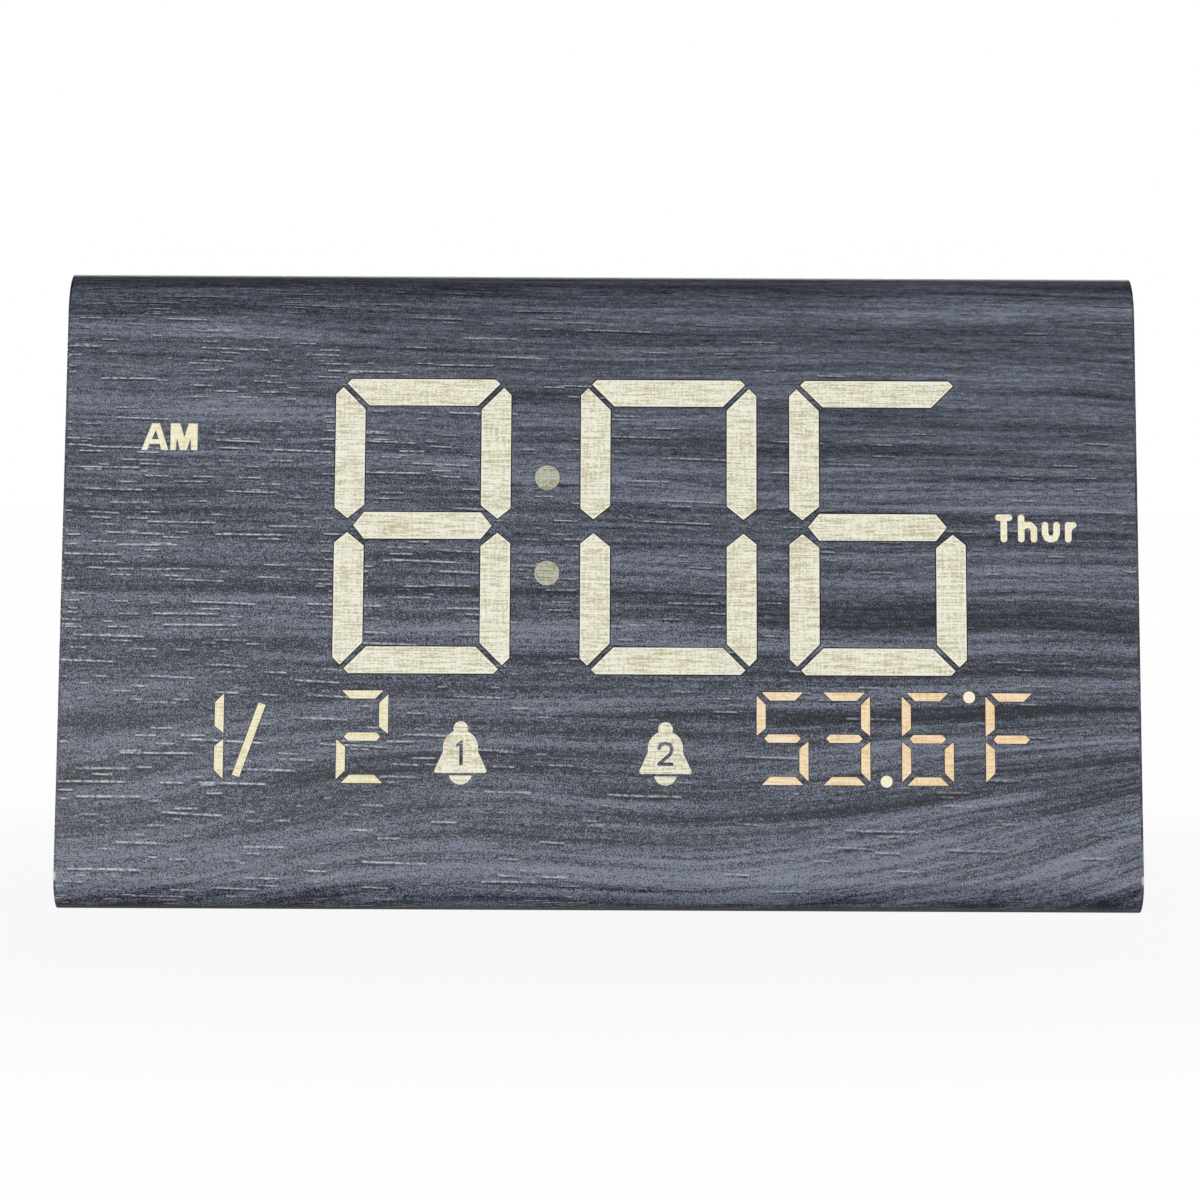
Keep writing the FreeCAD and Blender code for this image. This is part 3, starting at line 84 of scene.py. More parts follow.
# Sizes of cloudy patterns in millimetres: slow wave and bloom of the foil, its pebbles, the threads of
# the lamps' film and the clouds behind it, and the slow change of tone of moulded parts.
SLOW_WAVE = (60, 22, 22)
BLOOM = (1.3, 0.8, 0.8)
PEBBLES = (0.24, 0.2, 0.2)
LEVEL_THREADS = (5, 0.27, 0.27)
UPRIGHT_THREADS = (0.3, 4, 4)
FINE_THREADS = (0.5, 0.28, 0.28)
LAMP_CLOUDS = (9, 4, 4)
SLOW_TONE = (14, 14, 14)

# Grain of the foil: length and width in millimetres, then detail, roughness and shift of its noise.
BANDS = (130, 4.5, 2.0, 0.6, 0.0)
RIBBONS = (45, 0.95, 2.0, 0.6, 3.1)
FIBRES = (7, 0.38, 2.0, 0.6, 7.7)
HAIRS = (1.5, 0.3, 0.0, 0.5, 1.3)
FIELDS = (40, 6, 1.0, 0.5, 4.6)
BEADS = (0.7, 0.5, 0.0, 0.5, 2.9)

# Rows of pores: pitch, longest reach and half width in millimetres, then a seed.
LONG_PORES = (1.6, 26.0, 0.15, 3.1)
SHORT_PORES = (0.9, 9.0, 0.13, 7.7)

# Colours as on a screen: chipped foil, print and metal of the cells, and the brown ring round the small
# lamps, painted shade in their groove.
CHIPPED = (206, 204, 200)
JACKET_RING = (214, 214, 206)
CELL_METAL = (170, 170, 168)
BROWN_GROOVE_SHADE = (62, 26, 18)

# Plain finishes: name, colour as on a screen, grain and relief in millimetres, roughness, more, nodes.
PLAIN_FINISHES = (
    ("pressed_board", (148, 118, 84), 0.8, 0.08, 0.85, {},
     ("front_board", "top_board", "bottom_board", "left_end_panel", "right_end_panel")),
    ("lamp_mask", (22, 22, 24), 0.4, 0.02, 0.6, {}, ("display_mask",)),
    ("dark_lens", (52, 46, 44), 0.3, 0.01, 0.3, {}, ("unlit_segments",)),
    ("chip_white", (236, 232, 214), 0.2, 0.01, 0.4, {}, ("segment_leds",)),
    ("circuit_board", (28, 84, 52), 0.9, 0.02, 0.35, {"Coat_Weight": 0.3},
     ("led_board", "control_board", "power_board", "snooze_board")),
    ("chip_resin", (24, 24, 26), 0.2, 0.01, 0.55, {},
     ("control_chips", "button_switches", "snooze_switch", "dimmer_pot", "volume_switch", "power_jack",
      "port_tongue")),
    ("plated_steel", (158, 158, 157), 0.5, 0.004, 0.34, {"Metallic": 1.0},
     ("cover_screws", "board_fixings", "jack_pin", "charging_port", "battery_contacts")),
    ("speaker_paper", (30, 29, 28), 0.5, 0.06, 0.9, {}, ("speaker",)),
    ("lead_sheath", (120, 122, 124), 0.6, 0.01, 0.45, {}, ("inner_leads", "ribbon_cable")),
    ("sensor_resin", (34, 36, 40), 0.2, 0.01, 0.35, {}, ("temperature_sensor",)),
)

# Cells in millimetres from their ends: the pale ring of the jacket from and to, and the bare metal.
RING_FROM, RING_TO = 6.0, 3.6
BARE_END = 2.2
SOFT_EDGE = 0.2

# Signs of the rear cover in millimetres: how far they lie under their keys, under and over the dimmer
# wheel; then their bars, rings, suns, bells with one or two dots, and the stair of the volume.
SIGN_DROP = 6.6
WHEEL_SIGN_DROP = 9.0
WHEEL_SIGN_RISE = 9.2
SIGN_BAR = 2.4
RING_RADIUS, RING_DOT = 1.0, 0.3
SMALL_SUN, PLAIN_SUN, LARGE_SUN = 0.5, 0.6, 0.7
SUN_RAYS = 8
BELL_ASIDE, BELL_DOTS_ASIDE, BELL_DOT, BELL_DOT_APART = -0.5, 1.7, 0.35, 0.6
STAIR_FROM, STAIR_PITCH, STAIR_RISE, STAIR_LEAST, STAIR_MORE = 0.4, 1.0, 0.3, 1.0, 0.6

# Bell in millimetres: each stroke's size and its height over the middle.
DOME_RADIUS, DOME_UP = 0.75, 0.3
SIDE_LENGTH, SIDE_UP = 1.1, -0.25
BELL_RIM, BELL_RIM_UP = 2.5, -0.95
CLAPPER_RADIUS, CLAPPER_UP = 0.3, -1.55

# Ribs of the door and the knob in millimetres: place of the first, length, how much shorter each next one
# is, pitch and height.
DOOR_RIB_RISE, DOOR_RIB_LENGTH, DOOR_RIB_LESS, DOOR_RIB_PITCH = 3.2, 9.0, 1.6, 1.5
KNOB_RIB_LENGTH, KNOB_RIB_PITCH, KNOB_RIB_HEIGHT = 2.8, 0.9, 0.12

# Stage in metres and watts: half the floor, where it pales round the clock out of its painted shade, the
# point lit, and each lamp's name, place, width, height and power.
FLOOR_HALF = 12
PALING_FROM, PALING_TO = 0.09, 0.26
LIT_POINT = (0, 0, 0.06)
STAGE_LAMPS = (
    ("front_left", (-0.7, -1.5, 0.1), 1.0, 1.0, 15.0),
    ("front_right", (0.9, -1.4, 0.05), 1.0, 1.0, 12.5),
    ("front_low", (-0.1, -1.8, 0.14), 1.0, 0.2, 5.0),
    ("behind", (0.2, 1.5, 0.3), 1.2, 1.2, 12.0),
)
SENSOR_WIDTH = 36
NEAR_CLIP = 0.01


class ClockSizes(bpy.types.PropertyGroup):
    """Sizes of the details that are modelled on top of the frame."""
    groove_width: bpy.props.FloatProperty(
        name="Groove width", description="Chamfer round each lamp of the time in its foil window",
        default=0.2 * MM, unit="LENGTH", precision=5)
    small_groove_width: bpy.props.FloatProperty(
        name="Small groove width",
        description="Chamfer round the lamps of the date and the temperature",
        default=0.13 * MM, unit="LENGTH", precision=5)
    fine_groove_width: bpy.props.FloatProperty(
        name="Fine groove width", description="Chamfer round the letters, the bells and the colon",
        default=0.03 * MM, unit="LENGTH", precision=5)
    groove_depth: bpy.props.FloatProperty(
        name="Groove depth", description="How far the chamfer drops behind the foil",
        default=0.2 * MM, unit="LENGTH", precision=5)
    edge_radius: bpy.props.FloatProperty(
        name="Moulded edge", description="Rounding of moulded plastic edges",
        default=0.25 * MM, unit="LENGTH", precision=5)
    snooze_edge: bpy.props.FloatProperty(
        name="Snooze edge", description="Rounding round the snooze bar",
        default=0.28 * MM, unit="LENGTH", precision=5)
    snooze_dish: bpy.props.FloatProperty(
        name="Snooze dish", description="Hollow along the snooze bar",
        default=0.3 * MM, unit="LENGTH", precision=5)
    key_dish: bpy.props.FloatProperty(
        name="Key dish", description="Hollow in the middle of each round key",
        default=0.35 * MM, unit="LENGTH", precision=5)
    foot_edge: bpy.props.FloatProperty(
        name="Foot edge", description="Rounding of the rubber feet",
        default=0.3 * MM, unit="LENGTH", precision=5)
    mark_height: bpy.props.FloatProperty(
        name="Mark height",
        description="How far the moulded signs stand off the rear cover",
        default=0.25 * MM, unit="LENGTH", precision=5)
    mark_stroke: bpy.props.FloatProperty(
        name="Mark stroke", description="Width of the lines of the moulded signs",
        default=0.45 * MM, unit="LENGTH", precision=5)
    rib_width: bpy.props.FloatProperty(
        name="Rib width", description="Grip ribs of the battery door and the volume knob",
        default=0.5 * MM, unit="LENGTH", precision=5)
    view_aim_up: bpy.props.FloatProperty(
        name="Aim height",
        description="Height of the point of the face that the camera looks at",
        default=56.66 * MM, unit="LENGTH", precision=5)
    view_aim_deep: bpy.props.FloatProperty(
        name="Aim depth", description="Depth of that point",
        default=-18.81 * MM, unit="LENGTH", precision=5)
    view_distance: bpy.props.FloatProperty(
        name="View distance", description="From the camera to the middle of the display",
        default=0.6337, unit="LENGTH")
    view_rise: bpy.props.FloatProperty(
        name="View rise", description="Height of the line of sight above level",
        default=math.radians(1.8), subtype="ANGLE")
    view_roll: bpy.props.FloatProperty(
        name="View roll", description="Turn of the camera about its line of sight",
        default=math.radians(0.27), subtype="ANGLE")
    view_lens: bpy.props.FloatProperty(
        name="Lens", description="Focal length on a 36 mm sensor, in millimetres", default=104.6)


def shade(red, green, blue):
    """Linear colour from the 0 to 255 values seen on a screen."""
    values = []
    for part in (red, green, blue):
        level = part / 255
        values.append(level / 12.92 if level <= 0.04045 else ((level + 0.055) / 1.055) ** 2.4)
    return tuple(values)


def colour_property(label, words, rgb):
    """Colour setting with its default."""
    return bpy.props.FloatVectorProperty(name=label, description=words, subtype="COLOR", size=3,
                                         min=0, max=1, default=shade(*rgb))


class ClockColours(bpy.types.PropertyGroup):
    """Colours of the finishes."""
    foil_dark: colour_property("Foil shadow grain", "Darkest streaks of the foil", (35, 38, 47))
    foil_mid: colour_property("Foil", "Ground colour of the foil", (89, 94, 107))
    foil_light: colour_property("Foil light grain", "Lightest streaks of the foil", (143, 149, 167))
    foil_pore: colour_property("Foil pores", "Thin pale pores printed on the foil", (216, 219, 226))
    foil_edge: colour_property("Foil edge", "Cut edge of the foil and the board under it", (24, 20, 20))
    lamp_large: colour_property("Time lamps", "Lit diffusers of the time", (244, 241, 224))
    lamp_left: colour_property("Small lamps, left", "Lit diffusers of the date", (248, 242, 216))
    lamp_right: colour_property("Small lamps, right", "Lit diffusers of the temperature",
                                (250, 226, 186))
    lamp_sign: colour_property("Sign lamps", "Lit bells", (244, 240, 222))
    lamp_letter: colour_property("Letters", "Lit letters", (252, 246, 222))
    lamp_dot: colour_property("Point and degree dots", "Lit dots of the temperature", (254, 249, 228))
    lamp_dim: colour_property("Colon", "Half-lit dots between hours and minutes",
                              (190, 190, 174))
    plastic: colour_property("Rear plastic", "Moulded rear cover and keys", (30, 31, 34))
    key: colour_property("Keys", "Round keys, snooze bar and knobs", (22, 23, 25))
    mark: colour_property("Marks", "Raised signs on the rear cover", (150, 152, 156))
    jacket: colour_property("Cell jacket", "Printed jacket of the backup cells", (58, 92, 84))
    rubber: colour_property("Rubber", "Feet", (26, 26, 27))


class Wire:
    """A shader socket with arithmetic: every sign adds one Math node."""

    def __init__(self, paint, socket):
        self.paint = paint
        self.socket = socket

    def reckon(self, operation, other, turned=False):
        """Math node on this value and another."""
        first, second = (other, self) if turned else (self, other)
        return self.paint.node("ShaderNodeMath", {"operation": operation}, {0: first, 1: second})

    def __add__(self, other):
        return self.reckon("ADD", other)

    __radd__ = __add__

    def __sub__(self, other):
        return self.reckon("SUBTRACT", other)

    def __rsub__(self, other):
        return self.reckon("SUBTRACT", other, True)

    def __mul__(self, other):
        return self.reckon("MULTIPLY", other)

    __rmul__ = __mul__

    def __truediv__(self, other):
        return self.reckon("DIVIDE", other)

    def __pow__(self, other):
        return self.reckon("POWER", other)

    def __gt__(self, other):
        return self.reckon("GREATER_THAN", other)

    def most(self, other):
        """The larger of two values."""
        return self.reckon("MAXIMUM", other)

    def size(self):
        """Value without its sign."""
        return self.reckon("ABSOLUTE", 0.0)

    def whole(self):
        """Whole part of a value."""
        return self.reckon("FLOOR", 0.0)

    def rest(self):
        """What is left of a value above its whole part."""
        return self.reckon("FRACT", 0.0)


class Paint:
    """One material and the nodes behind its finish."""

    def __init__(self, name, **sockets):
        self.material = bpy.data.materials.new(name)
        self.material.use_nodes = True
        self.tree = self.material.node_tree
        self.shader = self.tree.nodes["Principled BSDF"]
        for socket, value in sockets.items():
            self.feed(self.shader.inputs[socket.replace("_", " ")], value)

    def feed(self, socket, value):
        """Link a wire, or set a constant."""
        if isinstance(value, Wire):
            self.tree.links.new(value.socket, socket)
        elif hasattr(value, "__len__") and len(value) == 3 and len(socket.default_value) == 4:
            socket.default_value = (*value, 1)
        else:
            socket.default_value = value

    def node(self, kind, settings=None, inputs=None, output=0):
        """Any node: its settings first, then the values or links of its sockets."""
        made = self.tree.nodes.new(kind)
        for key, value in (settings or {}).items():
            if key == "stops":
                for stop, (place, colour) in zip(self.stops(made.color_ramp, len(value)), value):
                    stop.position, stop.color = place, (*colour, 1)
            else:
                setattr(made, key, value)
        for key, value in (inputs or {}).items():
            self.feed(made.inputs[key], value)
        return Wire(self, made.outputs[output])

    @staticmethod
    def stops(ramp, count):
        """As many stops on a ramp as are needed."""
        while len(ramp.elements) < count:
            ramp.elements.new(1.0)
        return ramp.elements

    def place(self, scale=(1, 1, 1), turn=(0, 0, 0), shift=(0, 0, 0)):
        """Object coordinates in millimetres, turned, moved and divided by a scale."""
        where = self.node("ShaderNodeTexCoord", output="Object")
        where = self.node("ShaderNodeMapping", {"vector_type": "POINT"},
                          {"Vector": where, "Rotation": turn, "Scale": (1 / MM, 1 / MM, 1 / MM)})
        return self.node("ShaderNodeMapping", {"vector_type": "POINT"},
                         {"Vector": where, "Location": shift, "Scale": tuple(1 / part for part in scale)})

    def parts(self, vector):
        """The three numbers of a vector."""
        split = self.tree.nodes.new("ShaderNodeSeparateXYZ")
        self.feed(split.inputs[0], vector)
        return [Wire(self, socket) for socket in split.outputs]

    def vector(self, across, deep, up):
        """Vector from three numbers."""
        return self.node("ShaderNodeCombineXYZ", None, {0: across, 1: deep, 2: up})

    def noise(self, vector, detail=2.0, rough=0.5, output=0):
        """Cloudy noise from 0 to 1, or three of them as a colour."""
        return self.node("ShaderNodeTexNoise", {"noise_dimensions": "3D"},
                         {"Vector": vector, "Scale": 1.0, "Detail": detail, "Roughness": rough}, output)

    def luck(self, first, second, third):
        """Three random numbers from 0 to 1 that belong to three others."""
        drawn = self.node("ShaderNodeTexWhiteNoise", {"noise_dimensions": "3D"},
                          {"Vector": self.vector(first, second, third)}, 1)
        return self.parts(drawn)

    def step(self, value, low, high, first=0.0, last=1.0):
        """Smooth step of a value between two levels."""
        return self.node("ShaderNodeMapRange", {"interpolation_type": "SMOOTHSTEP"},
                         {"Value": value, "From Min": low, "From Max": high,
                          "To Min": first, "To Max": last})

    def mix(self, factor, first, second, blend="MIX"):
        """Blend of two colours."""
        return self.node("ShaderNodeMix", {"data_type": "RGBA", "blend_type": blend},
                         {0: factor, 6: first, 7: second}, 2)

    def grey(self, value):
        """Colour with the same value in its three parts."""
        return self.node("ShaderNodeCombineColor", None, {0: value, 1: value, 2: value})

    def colour(self, value):
        """Give the base colour."""
        self.feed(self.shader.inputs["Base Color"], value)

    def rough(self, value):
        """Give the roughness."""
        self.feed(self.shader.inputs["Roughness"], value)

    def bump(self, height, strength, depth):
        """Relief from a height between 0 and 1, depth in millimetres."""
        normal = self.node("ShaderNodeBump", None,
                           {"Strength": strength, "Distance": depth * MM, "Height": height})
        self.feed(self.shader.inputs["Normal"], normal)


def scored(paint, across, up, share, pitch, reach, width, seed):
    """Thin, nearly level lines of random length in rows, and a painted shadow under them."""
    row = (up / pitch).whole()
    run = across / reach + paint.luck(row, seed, 0.5)[0] * 13.0
    first, second, third = paint.luck(row, run.whole(), seed)
    begin = first * 0.45
    end = begin + 0.12 + second * 0.42
    along = run.rest()
    inside = paint.step(along, begin, begin + 0.02) * paint.step(along, end, end - 0.03)
    inside = inside * (share > third) * (0.5 + second * 0.5)
    tilt = (along - 0.5) * (first - 0.4) * (reach * 0.035)
    place = ((up / pitch).rest() - 0.3 - second * 0.4) * pitch + tilt
    line = paint.step(place.size(), width, width * 0.35)
    # Painted shadow: a dark line just under each pore line.
    painted_shadow_line = paint.step((place + width * 1.7).size(), width * 1.2, width * 0.4)
    return line * inside, painted_shadow_line * inside


def foil_paint(colours, name, ends):
    """Printed wood foil: swirled bands and fibres, thin pale pores and a pebbled skin, with painted
    shadows under the pores and painted light and shade along its top and lower rounding.
    """
    paint = Paint(name, Specular_IOR_Level=0.24)
    across, deep, up = paint.parts(paint.place())
    beyond_right, beyond_left = across - RISE_RIGHT_FROM, across - RISE_LEFT_FROM
    rise_right = paint.step(up, 52.0, 12.0) * paint.step(across, RISE_RIGHT_FROM, 30.0)
    rise_left = paint.step(up, 60.0, 15.0) * paint.step(across, RISE_LEFT_FROM, -75.0)
    bend = rise_right * (beyond_right * beyond_right * RISE_RIGHT_CURVE)
    bend = bend + rise_left * (beyond_left * RISE_LEFT_SLOPE)
    wave = (paint.noise(paint.place(SLOW_WAVE), detail=1.0) - 0.5) * 5.0
    fall = across * LEVEL_FALL
    swirled = paint.vector(across, deep, up + fall - bend + wave)
    level = paint.vector(across, deep, up + fall + wave * 0.25)
    if ends:
        swirled = level = paint.vector(deep, across, up + wave)

    def grain(source, length, width, detail, rough, shift):
        """Noise drawn out along the grain."""
        scaled = paint.node("ShaderNodeMapping", {"vector_type": "POINT"},
                            {"Vector": source, "Location": (shift, shift, shift),
                             "Scale": (1 / length, 1 / width, 1 / width)})
        return paint.noise(scaled, detail=detail, rough=rough)

    bands, ribbons, fibres = grain(swirled, *BANDS), grain(swirled, *RIBBONS), grain(swirled, *FIBRES)
    hairs = grain(level, *HAIRS)
    run, gone, height = paint.parts(level)
    if not ends:
        # The rows of pores follow the foil round the case, so they stay thin on its top and underside.
        height = height - (gone - TOP_MIDDLE).size() * (height - FACE_MIDDLE) * ROW_TURN
    leftward = paint.step(across, 70.0, -90.0)
    downward = paint.step(up, 112.0, 20.0)
    fields = paint.step(grain(level, *FIELDS), 0.35, 0.6, 0.3, 1.0) * (0.5 + leftward * 0.5)
    long_line, long_painted_shadow = scored(paint, run, height, fields * (0.6 + leftward * 0.5), *LONG_PORES)
    short_line, short_painted_shadow = scored(paint, run, height, fields * (0.25 + leftward * 0.35), *SHORT_PORES)
    beads = paint.step(grain(level, *BEADS), 0.36, 0.6, 0.25, 1.0)
    pores = long_line.most(short_line) * beads * (0.5 + leftward * 0.5)
    pores = pores * paint.step(up, 114.0, 98.0, 0.3, 1.0)
    painted_pore_shadows = long_painted_shadow.most(short_painted_shadow)
    pebble = paint.noise(paint.place(PEBBLES), detail=1.0, rough=0.6)
    # Painted light and shade: the lower rounding is paler, a painted highlight band, and its foot and the
    # top are darker, painted shade where the foil turns away from the light; the lower part is also a
    # little darker overall.
    edges = paint.step(up, 20.0, 9.0, 0.0, 0.23) - paint.step(up, 108.0, 115.0, 0.0, 0.2)
    edges = edges - paint.step(up, 5.0, 1.0, 0.0, 0.16) - downward * 0.12
    skin = (0.14 + downward * 0.26) * (0.7 + leftward * 0.55)
    tone = (bands - 0.5) * (1.1 + downward * 1.1) + (ribbons - 0.5) * (1.1 + downward * 0.5)
    tone = tone + (fibres - 0.5) * 0.7 + (hairs - 0.5) * (0.4 + skin)
    # The painted shadow under the pores darkens the tone here.
    tone = tone + (pebble - 0.5) * skin * 10.5 + edges + 0.49 - painted_pore_shadows * 0.45
    ground = paint.node("ShaderNodeValToRGB",
                        {"stops": [(0.0, tuple(colours.foil_dark)), (0.5, tuple(colours.foil_mid)),
                                   (1.0, tuple(colours.foil_light))]}, {"Fac": tone})
    ground = paint.mix(0.22, ground, paint.noise(paint.place(BLOOM), 2.0, 0.6, 1), "OVERLAY")
    face = paint.mix(pores, ground, tuple(colours.foil_pore))
    if ends:
        worn = paint.step(across.size(), END_ACROSS + 0.07, END_ACROSS, 0.0, 0.35)
    else:
        worn = paint.step(up, 1.3, 0.8)
    face = paint.mix(worn, face, tuple(colours.foil_edge))
    if ends:
        beside, before, above = across.size() - END_ACROSS, deep - CORNER_DEEP, up - CORNER_UP
        chip = (beside * beside + before * before + above * above * 0.3) ** 0.5
        face = paint.mix(paint.step(chip, 0.6, 0.35), face, shade(*CHIPPED))
    paint.colour(face)
    paint.rough(0.31 + (fibres - 0.5) * 0.15 + (pebble - 0.5) * 0.1)
    paint.bump(ribbons * 0.2 + fibres * 0.3 + pebble * skin - painted_pore_shadows * 0.4, 0.6, 0.09)
    return paint.material


def lamp_paint(name, tint, streak=1.0, warm=None, thread=(0.6, 0.57, 0.42)):
    """Lit diffuser under a fine woven film: level and upright threads, fainter towards its rim, which
    leaves a painted highlight along the edge.
    """
    paint = Paint(name, Roughness=0.45, Specular_IOR_Level=0.3, Emission_Strength=0.5)
    across = paint.parts(paint.place())[0]
    level = paint.noise(paint.place(LEVEL_THREADS), detail=1.0, rough=0.6)
    upright = paint.noise(paint.place(UPRIGHT_THREADS), detail=0.0)
    cloud = paint.noise(paint.place(LAMP_CLOUDS), detail=2.0)
    fine = paint.noise(paint.place(FINE_THREADS), detail=0.0)
    glow = paint.node("ShaderNodeAttribute", {"attribute_name": "glow"}, output="Fac")
    dull = (0.5 - level) * 2.9 + (0.5 - upright) * 0.9
    dull = dull + (0.5 - cloud) * 0.5 + (0.5 - fine) * 1.5
    # Where the glow attribute falls towards the rim the threads fade: a painted highlight along the
    # lamp's edge.
    dull = 0.32 + (dull - paint.step(glow, 0.5, 0.0) * 0.4) * streak
    ground = tuple(tint)
    if warm:
        ground = paint.mix(paint.step(across, -20.0, 75.0), tuple(tint), tuple(warm))
    lit = paint.mix(dull, ground, paint.mix(1.0, ground, thread, "MULTIPLY"))
    paint.colour(paint.mix(1.0, lit, (0.55, 0.55, 0.55), "MULTIPLY"))
    paint.feed(paint.shader.inputs["Emission Color"], lit)
    paint.bump(level, 0.25, 0.03)
    return paint.material


def moulded_paint(name, tint, grain_size=0.35, depth=0.03, rough=0.5, **sockets):
    """Moulded plastic, rubber or resin: spark-textured, with a slow change of tone."""
    paint = Paint(name, **sockets)
    spark = paint.noise(paint.place((grain_size,) * 3), detail=2.0, rough=0.6)
    slow = paint.noise(paint.place(SLOW_TONE), detail=3.0)
    light = 1.0 + (slow - 0.5) * 0.22 + (spark - 0.5) * 0.14
    paint.colour(paint.mix(1.0, tuple(tint), paint.grey(light), "MULTIPLY"))
    paint.rough(rough + (slow - 0.5) * 0.14 + (spark - 0.5) * 0.1)
    paint.bump(spark, 0.4, depth)
    return paint.material


def copied(name, joined=False):
    """Merged copy of a CAD node's mesh, with its flat faces joined where that is asked for."""
    shape = bmesh.new()
    shape.from_mesh(frame["nodes"][name].data)
    bmesh.ops.remove_doubles(shape, verts=shape.verts, dist=MERGE_DISTANCE)
    if joined:
        bmesh.ops.dissolve_limit(shape, angle_limit=JOIN_ANGLE, verts=shape.verts, edges=shape.edges)
    return shape


def facing(shape, direction):
    """Faces that look along a direction and lie furthest out on it."""
    looking = [face for face in shape.faces if face.normal.dot(direction) > FACING]
    furthest = max(face.calc_center_median().dot(direction) for face in looking)
    return [face for face in looking
            if face.calc_center_median().dot(direction) > furthest - FACING_REACH]


def finished(name, shape, body, materials, slot, *nodes, smooth=30):
    """Piece from a worked mesh: it takes materials, rides on a body and stands for CAD nodes."""
    mesh = bpy.data.meshes.new(name)
    shape.to_mesh(mesh)
    shape.free()
    for material in materials:
        mesh.materials.append(material)
    piece = bpy.data.objects.new(name, mesh)
    bpy.context.collection.objects.link(piece)
    mesh.shade_smooth()
    mesh.set_sharp_from_angle(angle=math.radians(smooth))
    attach(piece, body)
    if nodes:
        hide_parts(*nodes)
    return piece


def dress(material, *nodes):
    """Material for CAD nodes that keep their own shape."""
    for name in nodes:
        slots = frame["nodes"][name].data.materials
        slots.clear()
        slots.append(material)


def face_direction():
    """Outward direction of the leaning face, from the lamps of the hour."""
    shape = copied("hour_digit")
    flat = max(shape.faces, key=lambda face: face.calc_area() * (face.normal.y < -0.9))
    direction = flat.normal.copy()
    shape.free()
    return direction


def chamfered_lamp(name, materials, slot, fade, groove):
    """Lamp whose edge drops into a fine groove of its foil window, its chamfer painted dark as shade in
    the groove, and whose glow attribute falls off near that edge.
    """
    sizes = bpy.context.scene.clock_sizes
    outward = face_direction()
    shape = copied(name)
    glow = shape.verts.layers.float.new("glow")
    fronts = facing(shape, outward)
    rim = {vertex for face in fronts for vertex in face.verts}
    ring = bmesh.ops.inset_region(shape, faces=fronts, thickness=groove, depth=0,
                                  use_boundary=True, use_even_offset=True)
    # The chamfer ring takes the second material, painted shade in the groove.
    for face in ring["faces"]:
        face.material_index = 1
    outer = {vertex for face in ring["faces"] for vertex in face.verts}
    inner = {vertex for face in fronts for vertex in face.verts}
    bmesh.ops.translate(shape, verts=list((outer | rim) - inner), vec=-outward * sizes.groove_depth)
    bmesh.ops.inset_region(shape, faces=fronts, thickness=fade, depth=0, use_boundary=True,
                           use_even_offset=True)
    for vertex in {vertex for face in fronts for vertex in face.verts}:
        vertex[glow] = 1.0
    return finished(name + "_lens", shape, "case", materials, slot, name)


def lamp_materials(name, tint, rim=(0.012, 0.011, 0.011), **options):
    """Diffuser, and the near-black ring on its chamfer: painted shade in the groove round it, standing
    also for the dark cut wall of the foil.
    """
    # Near-black, or brown for the small lamps: painted shade in the groove round the lamp.
    edge = moulded_paint(name + "_rim", rim, rough=0.7)
    return [lamp_paint(name, tint, **options), edge]


def against(joint):
    """Direction against the travel of a joint: out of the surface that a key is pressed into."""
    row = next(row for row in frame["joints"] if row["name"] == joint)
    return -Vector(row["axis"]).normalized()


def outline_edges(faces):
    """Edges round a group of faces."""
    inside = set(faces)
    return [edge for face in faces for edge in face.edges
            if sum(side in inside for side in edge.link_faces) == 1]


def rounded(shape, outward, radius, segments=3):
    """Round the border of the furthest faces, and keep those faces flat with a narrow ring inside it."""
    bmesh.ops.bevel(shape, geom=outline_edges(facing(shape, outward)), offset=radius,
                    offset_type="OFFSET", affect="EDGES", segments=segments, profile=0.5, material=-1)
    bmesh.ops.inset_region(shape, faces=facing(shape, outward), thickness=radius / 3, depth=0,
                           use_even_offset=True)


def dished(shape, outward, first, ring, depth):
    """Hollow the furthest face: rings of insets that sink along a round profile."""
    crown = facing(shape, outward)
    if len(crown) > 1:
        crown = bmesh.ops.dissolve_faces(shape, faces=crown)["region"]
    bmesh.ops.inset_region(shape, faces=crown, thickness=first, depth=0, use_even_offset=True)
    for number in range(DISH_RINGS):
        bmesh.ops.inset_region(shape, faces=crown, thickness=ring, depth=0, use_even_offset=True)
        here, there = [math.cos(math.pi / 2 * (1 - step / DISH_RINGS)) for step in (number, number + 1)]
        floor = {vertex for face in crown for vertex in face.verts}
        bmesh.ops.translate(shape, verts=list(floor), vec=-outward * depth * (there - here))
    bmesh.ops.triangulate(shape, faces=crown)


